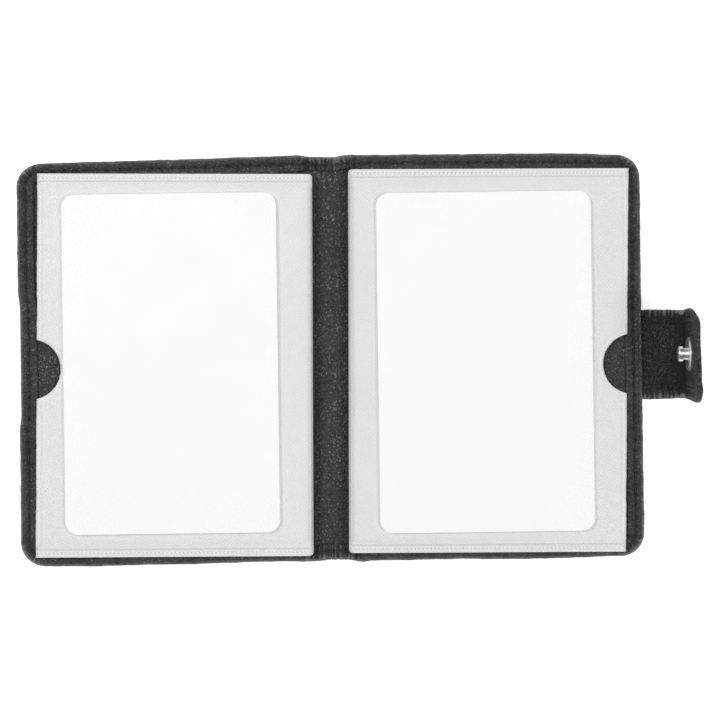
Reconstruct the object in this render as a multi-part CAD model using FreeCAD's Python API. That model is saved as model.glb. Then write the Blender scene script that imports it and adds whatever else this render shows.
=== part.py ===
import FreeCAD, Part
import math
import os

# Pocket album for card-format coins: two covers on a soft spine, a sleeve and a card on each, and a snap
# strap. Millimetres. +X runs from the spine to the fore edge of the back cover, +Y to the head of the album,
# and +Z up from the surface that the open album lies on. The origin is the middle of the spine's outer face.

# ---------------------------------------------------------------- driving dimensions

# the card that each sleeve holds
card_width = 53.98
card_length = 85.60
card_thickness = 0.76
card_corner = 3.18

# sleeve: a film in front of a backing, welded at head and foot, closed at the spine and open at the fore edge
film_thickness = 0.18
backing_thickness = 0.20
card_clearance = 0.03
card_end_play = 1.3
sleeve_side_margin = 15.3
weld_width = 1.8
weld_slope = 2.6
weld_bead_width = 0.5
weld_bead_height = 0.12
sleeve_corner = 1.0
front_lip = 0.45
back_lip = 1.15
front_card_inset = 8.9
back_card_inset = 7.65
front_card_rise = 0.45
back_card_rise = -0.28
front_sleeve_rise = -1.15
back_sleeve_rise = -1.05
notch_radius = 7.6
notch_depth = 6.1
notch_rise = -0.95

# covers
leather_thickness = 0.9
board_thickness = 1.4
lining_thickness = 0.6
hem_thickness = 0.6
hem_width = 4.5
fore_margin = 4.65
end_margin = 2.45
cover_corner = 4.5
least_corner = 0.3
outer_round = 0.7
gutter_width = 1.6
gutter_slope = 1.8
board_clearance = 0.1

# how the closed album sits
closed_gap = 2.6
hinge_drop = 0.1
hinge_clearance = 0.2
fold_clearance = 0.25

# stitching
stitch_inset = 2.2
stitch_pitch = 2.8
stitch_length = 2.2
thread_diameter = 0.38
groove_width = 0.5
thread_clearance = 0.02

# mounting tape under each sleeve
tape_width = 10.0
tape_length = 70.0
tape_inset = 14.0

# strap
strap_width = 22.6
strap_skin = 0.65
strap_core = 0.3
strap_wall = 0.5
strap_hem_width = 3.6
strap_stitch_inset = 2.5
strap_thread_diameter = 0.28
strap_clearance = 0.3
strap_bend_radius = 1.5
strap_tip_margin = 2.7
strap_tip_corner = 5.0
tongue_length = 10.0
bend_clearance = 0.02
half_bend_degrees = 45
bend_gap_degrees = 0.6

# snap fastener
snap_from_edge = 10.0
stud_flange_radius = 4.25
stud_flange_thickness = 0.5
stud_flange_land = 0.2
stud_head_radius = 1.9
stud_undercut = 0.4
stud_neck_length = 1.0
stud_length = 2.9
post_radius = 0.8
cap_radius = 6.2
cap_shoulder_radius = 3.7
cap_height = 1.3
cap_rim = 0.4
socket_rim_width = 3.15
socket_chamfer = 0.3
socket_clearance = 0.15
socket_seat_clearance = 0.1
flange_gap = 0.2
spring_wire_radius = 0.2
spring_clearance = 0.2
spring_play = 0.03
spring_opening_degrees = 40
eyelet_wall = 0.3
eyelet_flange_width = 2.05
eyelet_flange_thickness = 0.2

# for the drawing only: how far a cut runs past what it cuts, and how near two planes are the same
overshoot = 1.0
touch = 1e-6

# ---------------------------------------------------------------- places worked out from them

z_board = leather_thickness
z_lining = z_board + board_thickness
z_hem = z_lining + lining_thickness
z_sleeve = z_hem + hem_thickness
z_pocket = z_sleeve + backing_thickness
z_card = z_pocket + card_clearance
z_film = z_card + card_thickness + card_clearance
z_sleeve_top = z_film + film_thickness

z_spine_hem = leather_thickness + lining_thickness
z_spine_top = z_spine_hem + hem_thickness
hinge_z = z_spine_top - hinge_drop
hinge_x = z_sleeve_top - hinge_z + closed_gap / 2
closed_thickness = 2 * (hinge_x + hinge_z)

sleeve_inner = hinge_x + hinge_drop + fold_clearance
sleeve_outer = sleeve_inner + card_width + sleeve_side_margin
sleeve_half_length = card_length / 2 + card_end_play + weld_slope + weld_width
half_width = sleeve_outer + fore_margin
half_length = sleeve_half_length + end_margin

spine_edge = hinge_x - hinge_clearance
cover_start = hinge_x + hinge_clearance
gutter_end = cover_start + gutter_width
board_start = gutter_end + gutter_slope

stud_neck_radius = stud_head_radius - stud_undercut
stud_neck_end = stud_flange_thickness + stud_neck_length
socket_bore = stud_head_radius + socket_clearance
socket_radius = socket_bore + socket_rim_width
barrel_radius = socket_bore + eyelet_wall
eyelet_flange_radius = barrel_radius + eyelet_flange_width
post_hole_radius = post_radius + bend_clearance

strap_face = board_thickness - strap_skin - strap_core
strap_thickness = board_thickness
strap_x = half_width + strap_clearance
strap_z = z_lining
strap_foot = strap_z - strap_thickness
tip_gap = stud_flange_thickness + flange_gap
tip_face_x = strap_x + closed_thickness + tip_gap - strap_z
tip_back_x = tip_face_x + strap_thickness
bend_x = tip_face_x - strap_bend_radius
bend_z = strap_z + strap_bend_radius
bend_outer = strap_bend_radius + strap_thickness
pivot_x = bend_x + bend_outer * math.sin(math.radians(half_bend_degrees))
pivot_z = bend_z - bend_outer * math.cos(math.radians(half_bend_degrees))
stud_z = strap_z + strap_clearance + snap_from_edge
tip_top_z = stud_z + cap_radius + strap_tip_margin
snap_x = -(half_width - snap_from_edge)

# ---------------------------------------------------------------- shapes that several pieces use


def V(x, y, z):
    """A vector."""
    return FreeCAD.Vector(x, y, z)


def block(x0, x1, y0, y1, z0, z1):
    """A box between three pairs of planes."""
    return Part.makeBox(x1 - x0, y1 - y0, z1 - z0, V(x0, y0, z0))


def round_uprights(plate, corner, low_x, high_x):
    """The plate with its upright edges between two x planes rounded."""
    height = plate.BoundBox.ZLength
    chosen = []
    for edge in plate.Edges:
        box = edge.BoundBox
        if abs(box.ZLength - height) < touch and low_x - touch < box.XMin and box.XMax < high_x + touch:
            chosen.append(edge)
    return plate.makeFillet(corner, chosen)


def disc(radius, z0, z1, x, y):
    """An upright cylinder."""
    return Part.makeCylinder(radius, z1 - z0, V(x, y, z0))


def closed_face(points):
    """A flat face inside a polygon."""
    return Part.Face(Part.makePolygon(points + points[:1]))


def along_y(points, y0, y1):
    """A polygon of (x, z) points, swept from y0 to y1."""
    return closed_face([V(x, y0, z) for x, z in points]).extrude(V(0, y1 - y0, 0))


def along_x(points, x0, x1):
    """A polygon of (y, z) points, swept from x0 to x1."""
    return closed_face([V(x0, y, z) for y, z in points]).extrude(V(x1 - x0, 0, 0))


def turned(points, x, y, z, direction):
    """A solid of revolution on a foot and an axis: points are (radius, distance along the axis)."""
    solid = closed_face([V(r, 0, s) for r, s in points]).revolve(V(0, 0, 0), V(0, 0, 1), 360)
    solid.Placement = FreeCAD.Placement(V(x, y, z), FreeCAD.Rotation(V(0, 0, 1), direction))
    return solid


def front_side(shape):
    """A shape built on the back cover's side, mirrored to the front cover's side."""
    return shape.mirror(V(0, 0, 0), V(1, 0, 0))


def cut_all(shape, cuts):
    """The shape less each cut."""
    for cut in cuts:
        shape = shape.cut(cut)
    return shape


def thread_row(start, end, outward, diameter):
    """Stitches in line from start to end, sunk just under the surface that faces outward."""
    run = end - start
    count = max(1, int(run.Length // stitch_pitch))
    step = run.Length / count
    along = V(run.x, run.y, run.z).normalize()
    sunk = outward * -(thread_clearance + diameter / 2)
    stitches = []
    for n in range(count):
        foot = start + along * (step * (n + 0.5) - stitch_length / 2) + sunk
        stitches.append(Part.makeCylinder(diameter / 2, stitch_length, foot, along))
    return stitches


def groove_depth(diameter):
    """How deep a stitch line is pressed in for its thread."""
    return diameter + 2 * thread_clearance


# ---------------------------------------------------------------- covers


def stack_line(rise):
    """The (x, z) line of a layer from the crease over the gutter to the board, raised over the leather."""
    return [(cover_start, z_board + rise), (gutter_end, z_board + rise), (board_start, z_lining + rise)]


def flat_line(z):
    """The same line for a face that stays level."""
    return [(cover_start, z), (gutter_end, z), (board_start, z)]


def cover_slice(inset, low_line, high_line):
    """A slice of the cover between two such lines, set in from its edges, with its fore corners rounded."""
    edge, side = half_width - inset, half_length - inset
    points = low_line + [(edge, low_line[-1][1]), (edge, high_line[-1][1])] + high_line[::-1]
    plan = block(0, edge, -side, side, -overshoot, z_sleeve_top + overshoot)
    plan = round_uprights(plan, max(cover_corner - inset, least_corner), edge, edge)
    return along_y(points, -side, side).common(plan)


def stitch_runs():
    """The straight runs of a cover's stitch line: along the foot, up the fore edge and along the head."""
    far, side = half_width - stitch_inset, half_length - stitch_inset
    turn = groove_width / 2 + thread_clearance
    return [(board_start, -side, far - turn, -side), (far, turn - side, far, side - turn),
            (board_start, side, far - turn, side)]


def stitch_grooves():
    """The pressed lines for the stitches, in the hem's top and in the outer face."""
    depth, wide = groove_depth(thread_diameter), groove_width / 2
    cuts = []
    for x0, y0, x1, y1 in stitch_runs():
        for z0, z1 in ((z_sleeve - depth, z_sleeve + overshoot), (-overshoot, depth)):
            cuts.append(block(x0 - wide, x1 + wide, y0 - wide, y1 + wide, z0, z1))
    return cuts


def cover_stitching():
    """The stitches round a cover, on the hem and on the outer face."""
    made = []
    for x0, y0, x1, y1 in stitch_runs():
        for z, outward in ((z_sleeve, V(0, 0, 1)), (0, V(0, 0, -1))):
            made += thread_row(V(x0, y0, z), V(x1, y1, z), outward, thread_diameter)
    return Part.makeCompound(made)


def outer_edges(shape):
    """The edge line of the outer face, from where the board starts round the fore edge."""
    return [e for e in shape.Edges if e.BoundBox.ZMax < touch and e.BoundBox.XMin > board_start - touch]


def cover_leather():
    """The outer leather: the outer face, the edge, and the hem that is turned over the lining."""
    turned_edge = lining_thickness + hem_thickness
    skin = cover_slice(0, flat_line(0), stack_line(turned_edge))
    skin = skin.makeFillet(outer_round, outer_edges(skin))
    inside = cover_slice(leather_thickness, flat_line(z_board), stack_line(lining_thickness))
    open_middle = cover_slice(hem_width, stack_line(0), stack_line(turned_edge + overshoot))
    return cut_all(skin, [inside, open_middle] + stitch_grooves())


def lining():
    """The inner leather, from the crease over the gutter and the board, tucked under the hem."""
    return cover_slice(leather_thickness, stack_line(0), stack_line(lining_thickness))


def board():
    """The stiffening board between the outer leather and the lining."""
    inset = leather_thickness + board_clearance
    edge, side = half_width - inset, half_length - inset
    plate = block(board_start, edge, -side, side, z_board, z_lining)
    return round_uprights(plate, max(cover_corner - inset, least_corner), edge, edge)


# ---------------------------------------------------------------- spine


def spine_stitch_places():
    """The y places of the stitches across the spine's two ends."""
    return (stitch_inset - half_length, half_length - stitch_inset)


def spine_leather():
    """The outer leather of the spine, with its two ends turned over."""
    tuck, hem = half_length - leather_thickness, half_length - hem_width
    depth, wide = groove_depth(thread_diameter), groove_width / 2
    cuts = [block(-spine_edge, spine_edge, -tuck, tuck, z_board, z_spine_hem),
            block(-spine_edge, spine_edge, -hem, hem, z_spine_hem, z_spine_top + overshoot)]
    for y in spine_stitch_places():
        for z0, z1 in ((z_spine_top - depth, z_spine_top + overshoot), (-overshoot, depth)):
            cuts.append(block(-spine_edge, spine_edge, y - wide, y + wide, z0, z1))
    return cut_all(block(-spine_edge, spine_edge, -half_length, half_length, 0, z_spine_top), cuts)


def spine_lining():
    """The inner leather of the spine, tucked under its turned ends."""
    side = half_length - leather_thickness
    return block(-spine_edge, spine_edge, -side, side, z_board, z_spine_hem)


def spine_stitching():
    """The stitches across the spine's two ends, inside and outside."""
    made = []
    for y in spine_stitch_places():
        for z, outward in ((z_spine_top, V(0, 0, 1)), (0, V(0, 0, -1))):
            made += thread_row(V(-spine_edge, y, z), V(spine_edge, y, z), outward, thread_diameter)
    return Part.makeCompound(made)


# ---------------------------------------------------------------- sleeves and cards


def notch(lip, rise):
    """The thumb notch, cut through a sleeve's fore edge."""
    x = sleeve_outer + lip - notch_depth + notch_radius
    return disc(notch_radius, z_sleeve - overshoot, z_sleeve_top + overshoot, x, rise + notch_rise)


def sleeve_plan(edge, rise, z1):
    """The outline of a sleeve's sheet out to an edge, from its foot up to z1, rounded at the spine side."""
    half = sleeve_half_length
    sheet = block(sleeve_inner, edge, rise - half, rise + half, z_sleeve, z1)
    return round_uprights(sheet, sleeve_corner, sleeve_inner, sleeve_inner)


def sleeve_backing(lip, rise):
    """The flat sheet behind the card."""
    return sleeve_plan(sleeve_outer + lip, rise, z_pocket).cut(notch(lip, rise))


def pocket_arch(rise, lift):
    """The (y, z) line over the card from the foot weld to the head weld, raised by a lift."""
    weld = sleeve_half_length - weld_width
    crown = weld - weld_slope
    return [(rise - weld, z_pocket + lift), (rise - crown, z_film + lift), (rise + crown, z_film + lift),
            (rise + weld, z_pocket + lift)]


def sleeve_film(lip, rise):
    """The embossed film over the card: welded flat at head and foot, wrapped down at the spine side."""
    half, lift = sleeve_half_length, film_thickness
    outside = [(rise - half, z_pocket), (rise - half, z_pocket + lift)] + pocket_arch(rise, lift)
    outside += [(rise + half, z_pocket + lift), (rise + half, z_pocket)]
    shell = along_x(outside, sleeve_inner, sleeve_outer).common(sleeve_plan(sleeve_outer, rise, z_sleeve_top))
    pocket = along_x(pocket_arch(rise, 0), sleeve_inner + film_thickness, sleeve_outer + overshoot)
    return cut_all(shell, [pocket, notch(lip, rise)])


def sleeve_welds(rise):
    """The raised beads pressed along the head and foot welds."""
    z, wide, beads = z_pocket + film_thickness, weld_bead_width / 2, []
    for side in (-1, 1):
        for back in (2 * wide, weld_width - wide):
            y = rise + side * (sleeve_half_length - back)
            low_x, high_x = sleeve_inner + sleeve_corner, sleeve_outer - sleeve_corner
            beads.append(block(low_x, high_x, y - wide, y + wide, z, z + weld_bead_height))
    return Part.makeCompound(beads)


def sleeve_tape(rise):
    """Two strips of tape that hold a sleeve to the lining."""
    strips, half = [], tape_length / 2
    for x in (sleeve_inner + tape_inset, sleeve_outer - tape_inset - tape_width):
        strips.append(block(x, x + tape_width, rise - half, rise + half, z_hem, z_sleeve))
    return Part.makeCompound(strips)


def card(inset, rise):
    """A blank card."""
    x0, x1, half = sleeve_inner + inset, sleeve_inner + inset + card_width, card_length / 2
    plate = block(x0, x1, rise - half, rise + half, z_card, z_card + card_thickness)
    return round_uprights(plate, card_corner, x0, x1)


# ---------------------------------------------------------------- strap


def strap_section(y_inset, z0, z1, side_shift):
    """One layer of the strap in section where its bend starts, heights from its outer face."""
    half = strap_width / 2 - y_inset
    low, high = strap_foot + z0, strap_foot + z1
    return closed_face([V(side_shift, -half, low), V(side_shift, half, low), V(side_shift, half, high),
                        V(side_shift, -half, high)])


def strap_turn(section, start_degrees, end_degrees):
    """A section swept round the bend from one angle to another."""
    centre, axis = V(bend_x, 0, bend_z), V(0, -1, 0)
    return section.rotated(centre, axis, start_degrees).revolve(centre, axis, end_degrees - start_degrees)


def root_run(y_inset, z0, z1):
    """One layer of the strap's root: straight out, then through the first half of its bend."""
    start = strap_x + bend_clearance
    straight = strap_section(y_inset, z0, z1, start).extrude(V(bend_x - start, 0, 0))
    turn = strap_turn(strap_section(y_inset, z0, z1, bend_x), 0, half_bend_degrees - bend_gap_degrees)
    return straight.fuse(turn).removeSplitter()


def tip_run(y_inset, end_inset, z0, z1):
    """One layer of the strap's tip: the second half of the bend, then straight up to a rounded end."""
    turn = strap_turn(strap_section(y_inset, z0, z1, bend_x), half_bend_degrees, 2 * half_bend_degrees)
    half, top = strap_width / 2 - y_inset, tip_top_z - end_inset
    upright = block(tip_back_x - z1, tip_back_x - z0, -half, half, bend_z, top)
    corner = max(strap_tip_corner - end_inset, least_corner)
    ends = []
    for edge in upright.Edges:
        box = edge.BoundBox
        if abs(box.XLength - (z1 - z0)) < touch and box.ZMin > top - touch:
            ends.append(edge)
    return turn.fuse(upright.makeFillet(corner, ends)).removeSplitter()


def strap_stitch_places():
    """The y places of the strap's two stitch lines."""
    reach = strap_width / 2 - strap_stitch_inset
    return (-reach, reach)


def root_leather():
    """The strap's outer leather from the cover to the bend, its sides turned over the core."""
    face = strap_skin + strap_core
    depth, wide = groove_depth(strap_thread_diameter), groove_width / 2
    cuts = [root_run(strap_wall, strap_skin, face), root_run(strap_hem_width, face, strap_thickness)]
    for y in strap_stitch_places():
        for z0, z1 in ((strap_z - depth, strap_z), (strap_foot, strap_foot + depth)):
            cuts.append(block(strap_x, bend_x, y - wide, y + wide, z0, z1))
    return cut_all(root_run(0, 0, strap_thickness), cuts)


def tip_leather():
    """The strap's outer leather from the bend to its rounded end, with the snap's hole."""
    face = strap_skin + strap_core
    depth, wide = groove_depth(strap_thread_diameter), groove_width / 2
    low, high = strap_stitch_places()
    top = tip_top_z - strap_stitch_inset
    cuts = [tip_run(strap_wall, strap_wall, strap_skin, face), snap_hole(),
            tip_run(strap_hem_width, strap_hem_width, face, strap_thickness)]
    for x0, x1 in ((tip_face_x, tip_face_x + depth), (tip_back_x - depth, tip_back_x)):
        cuts.append(block(x0, x1, low, high, top - wide, top + wide))
        for y in (low, high):
            cuts.append(block(x0, x1, y - wide, y + wide, bend_z, top + wide))
    return cut_all(tip_run(0, 0, 0, strap_thickness), cuts)


def root_stitching():
    """The stitches along the strap's root, on both faces."""
    made = []
    for y in strap_stitch_places():
        for z, outward in ((strap_z, V(0, 0, 1)), (strap_foot, V(0, 0, -1))):
            start, end = V(strap_x + strap_clearance, y, z), V(bend_x, y, z)
            made += thread_row(start, end, outward, strap_thread_diameter)
    return Part.makeCompound(made)


def tip_stitching():
    """The stitches up the strap's tip and across its end, on both faces."""
    low, high = strap_stitch_places()
    top = tip_top_z - strap_stitch_inset
    turn = groove_width / 2 + thread_clearance
    made = []
    for x, outward in ((tip_face_x, V(-1, 0, 0)), (tip_back_x, V(1, 0, 0))):
        for y in (low, high):
            made += thread_row(V(x, y, bend_z), V(x, y, top - turn), outward, strap_thread_diameter)
        made += thread_row(V(x, low + turn, top), V(x, high - turn, top), outward, strap_thread_diameter)
    return Part.makeCompound(made)


def strap_tongue():
    """The end of the strap that lies in a slot of the back board, under the lining."""
    half = strap_width / 2
    return block(half_width - tongue_length, half_width, -half, half, z_board, z_lining)


def tongue_slot():
    """The slot for it, through the board and out of the cover's fore edge."""
    box, gap = strap_tongue().BoundBox, board_clearance
    return block(box.XMin - gap, half_width + overshoot, box.YMin - gap, box.YMax + gap, z_board, z_lining)


# ---------------------------------------------------------------- snap fastener


def snap_hole():
    """The hole through the strap's tip for the cap's post."""
    start = V(tip_face_x - overshoot, 0, stud_z)
    return Part.makeCylinder(post_hole_radius, strap_thickness + 2 * overshoot, start, V(1, 0, 0))


def snap_stud():
    """The male half: a flange on the strap's inner face, a neck and a head, bored for the cap's post."""
    bevel = stud_undercut / 2
    outline = [(post_hole_radius, 0), (stud_flange_radius, 0), (stud_flange_radius, stud_flange_land),
               (stud_flange_radius - stud_flange_thickness, stud_flange_thickness),
               (stud_neck_radius, stud_flange_thickness), (stud_neck_radius, stud_neck_end),
               (stud_head_radius, stud_neck_end + bevel), (stud_head_radius, stud_length - 2 * bevel),
               (stud_head_radius - bevel, stud_length - bevel / 2), (stud_neck_radius - bevel, stud_length),
               (0, stud_length), (0, stud_neck_end), (post_hole_radius, stud_neck_end)]
    return turned(outline, tip_face_x, 0, stud_z, V(-1, 0, 0))


def snap_cap():
    """The cap on the strap's outer face, with the post that joins it to the stud."""
    reach = strap_thickness + stud_neck_end - bend_clearance
    outline = [(0, -reach), (post_radius, -reach), (post_radius, 0), (cap_radius, 0), (cap_radius, cap_rim),
               (cap_shoulder_radius, cap_height - cap_rim / 2), (0, cap_height)]
    return turned(outline, tip_back_x, 0, stud_z, V(1, 0, 0))


def spring_circle():
    """The middle radius of the ring spring, which lies round the stud's neck."""
    return stud_neck_radius + spring_clearance + spring_wire_radius


def spring_height():
    """The ring spring's height over the outer face: half way along the part of the neck that enters."""
    return (stud_neck_end - tip_gap) / 2


def snap_socket():
    """The female half, sunk in the front cover's outer face, with a groove for its spring."""
    groove = spring_circle() + spring_wire_radius + 2 * spring_clearance
    low = spring_height() - spring_wire_radius - spring_play
    high = spring_height() + spring_wire_radius + spring_play
    outline = [(socket_bore, 0), (socket_radius - socket_chamfer, 0), (socket_radius, socket_chamfer),
               (socket_radius, z_board), (socket_bore, z_board), (socket_bore, high), (groove, high),
               (groove, low), (socket_bore, low)]
    return turned(outline, snap_x, 0, 0, V(0, 0, 1))


def snap_spring():
    """The split ring spring in the socket's groove."""
    wire = Part.Wire(Part.makeCircle(spring_wire_radius, V(spring_circle(), 0, 0), V(0, 1, 0)))
    ring = Part.Face(wire).revolve(V(0, 0, 0), V(0, 0, 1), 360 - spring_opening_degrees)
    ring.translate(V(snap_x, 0, spring_height()))
    return ring


def snap_eyelet():
    """The eyelet that holds the socket from behind: a barrel through the board, closed under the lining."""
    top = z_lining + eyelet_flange_thickness
    outline = [(socket_bore, z_board), (barrel_radius, z_board), (barrel_radius, z_lining),
               (eyelet_flange_radius, z_lining), (eyelet_flange_radius, top), (0, top), (0, z_lining),
               (socket_bore, z_lining)]
    return turned(outline, snap_x, 0, 0, V(0, 0, 1))


def socket_seats():
    """The holes for the socket and its eyelet: in the outer leather, in the board and under the lining."""
    flange_top = z_lining + eyelet_flange_thickness
    return {
        "leather": disc(socket_radius + socket_seat_clearance, -overshoot, z_board, snap_x, 0),
        "board": disc(barrel_radius + board_clearance, z_board, z_lining, snap_x, 0),
        "lining": disc(eyelet_flange_radius + board_clearance, z_lining, flange_top, snap_x, 0),
    }


# ---------------------------------------------------------------- the pieces


def front_pieces():
    """The front cover's own pieces, by name."""
    seats, rise = socket_seats(), front_sleeve_rise
    return {
        "front_cover_leather": front_side(cover_leather()).cut(seats["leather"]),
        "front_board": front_side(board()).cut(seats["board"]),
        "front_lining": front_side(lining()).cut(seats["lining"]),
        "front_cover_stitching": front_side(cover_stitching()),
        "front_sleeve_backing": front_side(sleeve_backing(front_lip, rise)),
        "front_sleeve_film": front_side(sleeve_film(front_lip, rise)),
        "front_sleeve_welds": front_side(sleeve_welds(rise)),
        "front_sleeve_tape": front_side(sleeve_tape(rise)),
        "front_card": front_side(card(front_card_inset, rise + front_card_rise)),
        "snap_socket": snap_socket(),
        "snap_spring": snap_spring(),
        "snap_eyelet": snap_eyelet(),
    }


def spine_pieces():
    """The spine's pieces, by name."""
    return {
        "spine_leather": spine_leather(),
        "spine_lining": spine_lining(),
        "spine_stitching": spine_stitching(),
    }


def back_pieces():
    """The back cover's own pieces, by name."""
    slot, rise = tongue_slot(), back_sleeve_rise
    return {
        "back_cover_leather": cover_leather().cut(slot),
        "back_board": board().cut(slot),
        "back_lining": lining(),
        "back_cover_stitching": cover_stitching(),
        "back_sleeve_backing": sleeve_backing(back_lip, rise),
        "back_sleeve_film": sleeve_film(back_lip, rise),
        "back_sleeve_welds": sleeve_welds(rise),
        "back_sleeve_tape": sleeve_tape(rise),
        "back_card": card(back_card_inset, rise + back_card_rise),
        "strap_tongue": strap_tongue(),
    }


def strap_pieces():
    """The strap's pieces and the snap's male half, by name."""
    face = strap_skin + strap_core
    return {
        "strap_root_leather": root_leather(),
        "strap_root_core": root_run(strap_wall, strap_skin, face),
        "strap_root_lining": root_run(strap_hem_width, face, strap_thickness),
        "strap_root_stitching": root_stitching(),
        "strap_tip_leather": tip_leather(),
        "strap_tip_core": tip_run(strap_wall, strap_wall, strap_skin, face).cut(snap_hole()),
        "strap_tip_lining": tip_run(strap_hem_width, strap_hem_width, face, strap_thickness).cut(snap_hole()),
        "strap_tip_stitching": tip_stitching(),
        "snap_stud": snap_stud(),
        "snap_cap": snap_cap(),
    }


def main():
    """Builds every piece and writes one STEP file for each."""
    os.makedirs("parts", exist_ok=True)
    pieces = {**front_pieces(), **spine_pieces(), **back_pieces(), **strap_pieces()}
    for name, shape in pieces.items():
        if not shape.Solids or not shape.isValid():
            raise ValueError(f"{name} did not build as valid solids")
        shape.exportStep(f"parts/{name}.step")
        print(f"{name}: {len(shape.Solids)} solid(s), {sum(s.Volume for s in shape.Solids):.1f} mm3")
    print(f"hinge_x {hinge_x:.4f} hinge_z {hinge_z:.4f} closed_thickness {closed_thickness:.4f}")
    print(f"half_width {half_width:.4f} half_length {half_length:.4f}")
    print(f"sleeve_inner {sleeve_inner:.4f} sleeve_outer {sleeve_outer:.4f} z_hem {z_hem:.4f}")
    print(f"strap_x {strap_x:.4f} strap_z {strap_z:.4f} pivot_x {pivot_x:.4f} pivot_z {pivot_z:.4f}")
    print(f"tip_face_x {tip_face_x:.4f} stud_z {stud_z:.4f} snap_x {snap_x:.4f} tip_top_z {tip_top_z:.4f}")


main()
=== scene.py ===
import math
import bpy
import numpy as np
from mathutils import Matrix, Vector


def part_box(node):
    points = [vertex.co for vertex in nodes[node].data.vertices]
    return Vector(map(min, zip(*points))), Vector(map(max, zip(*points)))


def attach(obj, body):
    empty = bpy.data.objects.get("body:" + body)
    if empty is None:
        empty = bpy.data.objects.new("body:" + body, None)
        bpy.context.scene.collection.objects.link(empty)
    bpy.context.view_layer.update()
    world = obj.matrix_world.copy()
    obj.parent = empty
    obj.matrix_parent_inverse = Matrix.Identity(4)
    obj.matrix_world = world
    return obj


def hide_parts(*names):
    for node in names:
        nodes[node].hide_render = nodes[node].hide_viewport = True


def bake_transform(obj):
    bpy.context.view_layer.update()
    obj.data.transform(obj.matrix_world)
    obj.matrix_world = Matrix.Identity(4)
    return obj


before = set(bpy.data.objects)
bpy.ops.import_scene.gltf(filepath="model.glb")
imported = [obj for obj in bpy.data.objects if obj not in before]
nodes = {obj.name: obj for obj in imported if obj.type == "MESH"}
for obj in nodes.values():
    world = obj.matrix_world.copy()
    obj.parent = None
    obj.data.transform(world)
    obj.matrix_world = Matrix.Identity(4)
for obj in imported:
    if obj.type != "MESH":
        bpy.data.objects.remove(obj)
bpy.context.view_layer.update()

# An open pocket album seen from straight above. Shapes are worked in millimetres in the frame of the CAD
# model and turned into metres when a mesh is made. Leather is built flat first, so that its grain and its
# creases keep their place when it folds.

scene = bpy.context.scene


def cadLow(name):
    return np.array(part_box(name)[0]) * 1000


def cadHigh(name):
    return np.array(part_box(name)[1]) * 1000


# small helpers for shapes

def smooth(t, low, high):
    t = np.clip((t - low) / (high - low), 0, 1)
    return t * t * (3 - 2 * t)


def wobble(t, longest, seed, parts=5):
    # a line that wanders between about -1 and 1
    dice = np.random.default_rng(seed)
    total = 0 * t
    weight = 0
    for k in range(parts):
        share = 0.7 ** k
        total = total + share * np.sin(2 * math.pi * t * 1.83 ** k / longest + dice.uniform(0, 6.28))
        weight += share * 0.62
    return total / weight


def ridges(t, pitch, seed, uneven=0.3):
    # round ridges with sharp valleys between them, 1 on a ridge and 0 in a valley
    turn = t / pitch + uneven * wobble(t, 6.5 * pitch, seed, 3)
    return np.abs(np.sin(math.pi * turn)) ** 0.75


def easeLine(t, stops):
    # an eased line through (place, value) stops
    places = np.array([p for p, value in stops], float)
    values = np.array([value for p, value in stops], float)
    k = np.clip(np.searchsorted(places, t) - 1, 0, len(stops) - 2)
    share = (t - places[k]) / (places[k + 1] - places[k])
    return values[k] + (values[k + 1] - values[k]) * smooth(share, 0, 1)


def bell(t, middle, spread):
    return np.exp(-((t - middle) / spread) ** 2)


def steps(*runs):
    # places along a line, from runs of (start, end, step)
    places = []
    for start, end, step in runs:
        count = max(1, int(round(abs(end - start) / step)))
        places += list(np.linspace(start, end, count + 1))
    return np.array(sorted(set(round(p, 5) for p in places)))


def makePiece(name, points, faces, marks=None, material=None):
    # a smooth-shaded object from points in millimetres, keeping only the points its faces use
    used = np.unique(np.concatenate([np.array(f) for f in faces]))
    place = np.full(len(points), -1)
    place[used] = np.arange(len(used))
    mesh = bpy.data.meshes.new(name)
    mesh.from_pydata((points[used] * 0.001).tolist(), [], [tuple(int(place[i]) for i in f) for f in faces])
    mesh.polygons.foreach_set("use_smooth", [True] * len(mesh.polygons))
    for key, values in (marks or {}).items():
        values = np.asarray(values, float)[used]
        kind = "FLOAT_VECTOR" if values.ndim == 2 else "FLOAT"
        layer = mesh.attributes.new(key, kind, "POINT")
        layer.data.foreach_set("vector" if values.ndim == 2 else "value", values.astype(np.float32).ravel())
    mesh.update()
    obj = bpy.data.objects.new(name, mesh)
    scene.collection.objects.link(obj)
    if material is not None:
        mesh.materials.append(material)
    return obj


def gridFaces(across, along):
    # a sheet is two lattices of points, first the one under it and then the one over it
    faces = []
    for i in range(across - 1):
        for j in range(along - 1):
            a = i * along + j
            b = a + across * along
            faces.append((a, a + 1, a + along + 1, a + along))
            faces.append((b, b + along, b + along + 1, b + 1))
    return faces


def gridRim(across, along):
    # the points round the lattice under a sheet, in order
    rim = [i * along for i in range(across)] + [(across - 1) * along + j for j in range(1, along)]
    rim += [i * along + along - 1 for i in range(across - 2, -1, -1)]
    return rim + [j for j in range(along - 2, 0, -1)]


# a panel with turned-over edges: a lattice on each face, and rings that run round its rim

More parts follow.
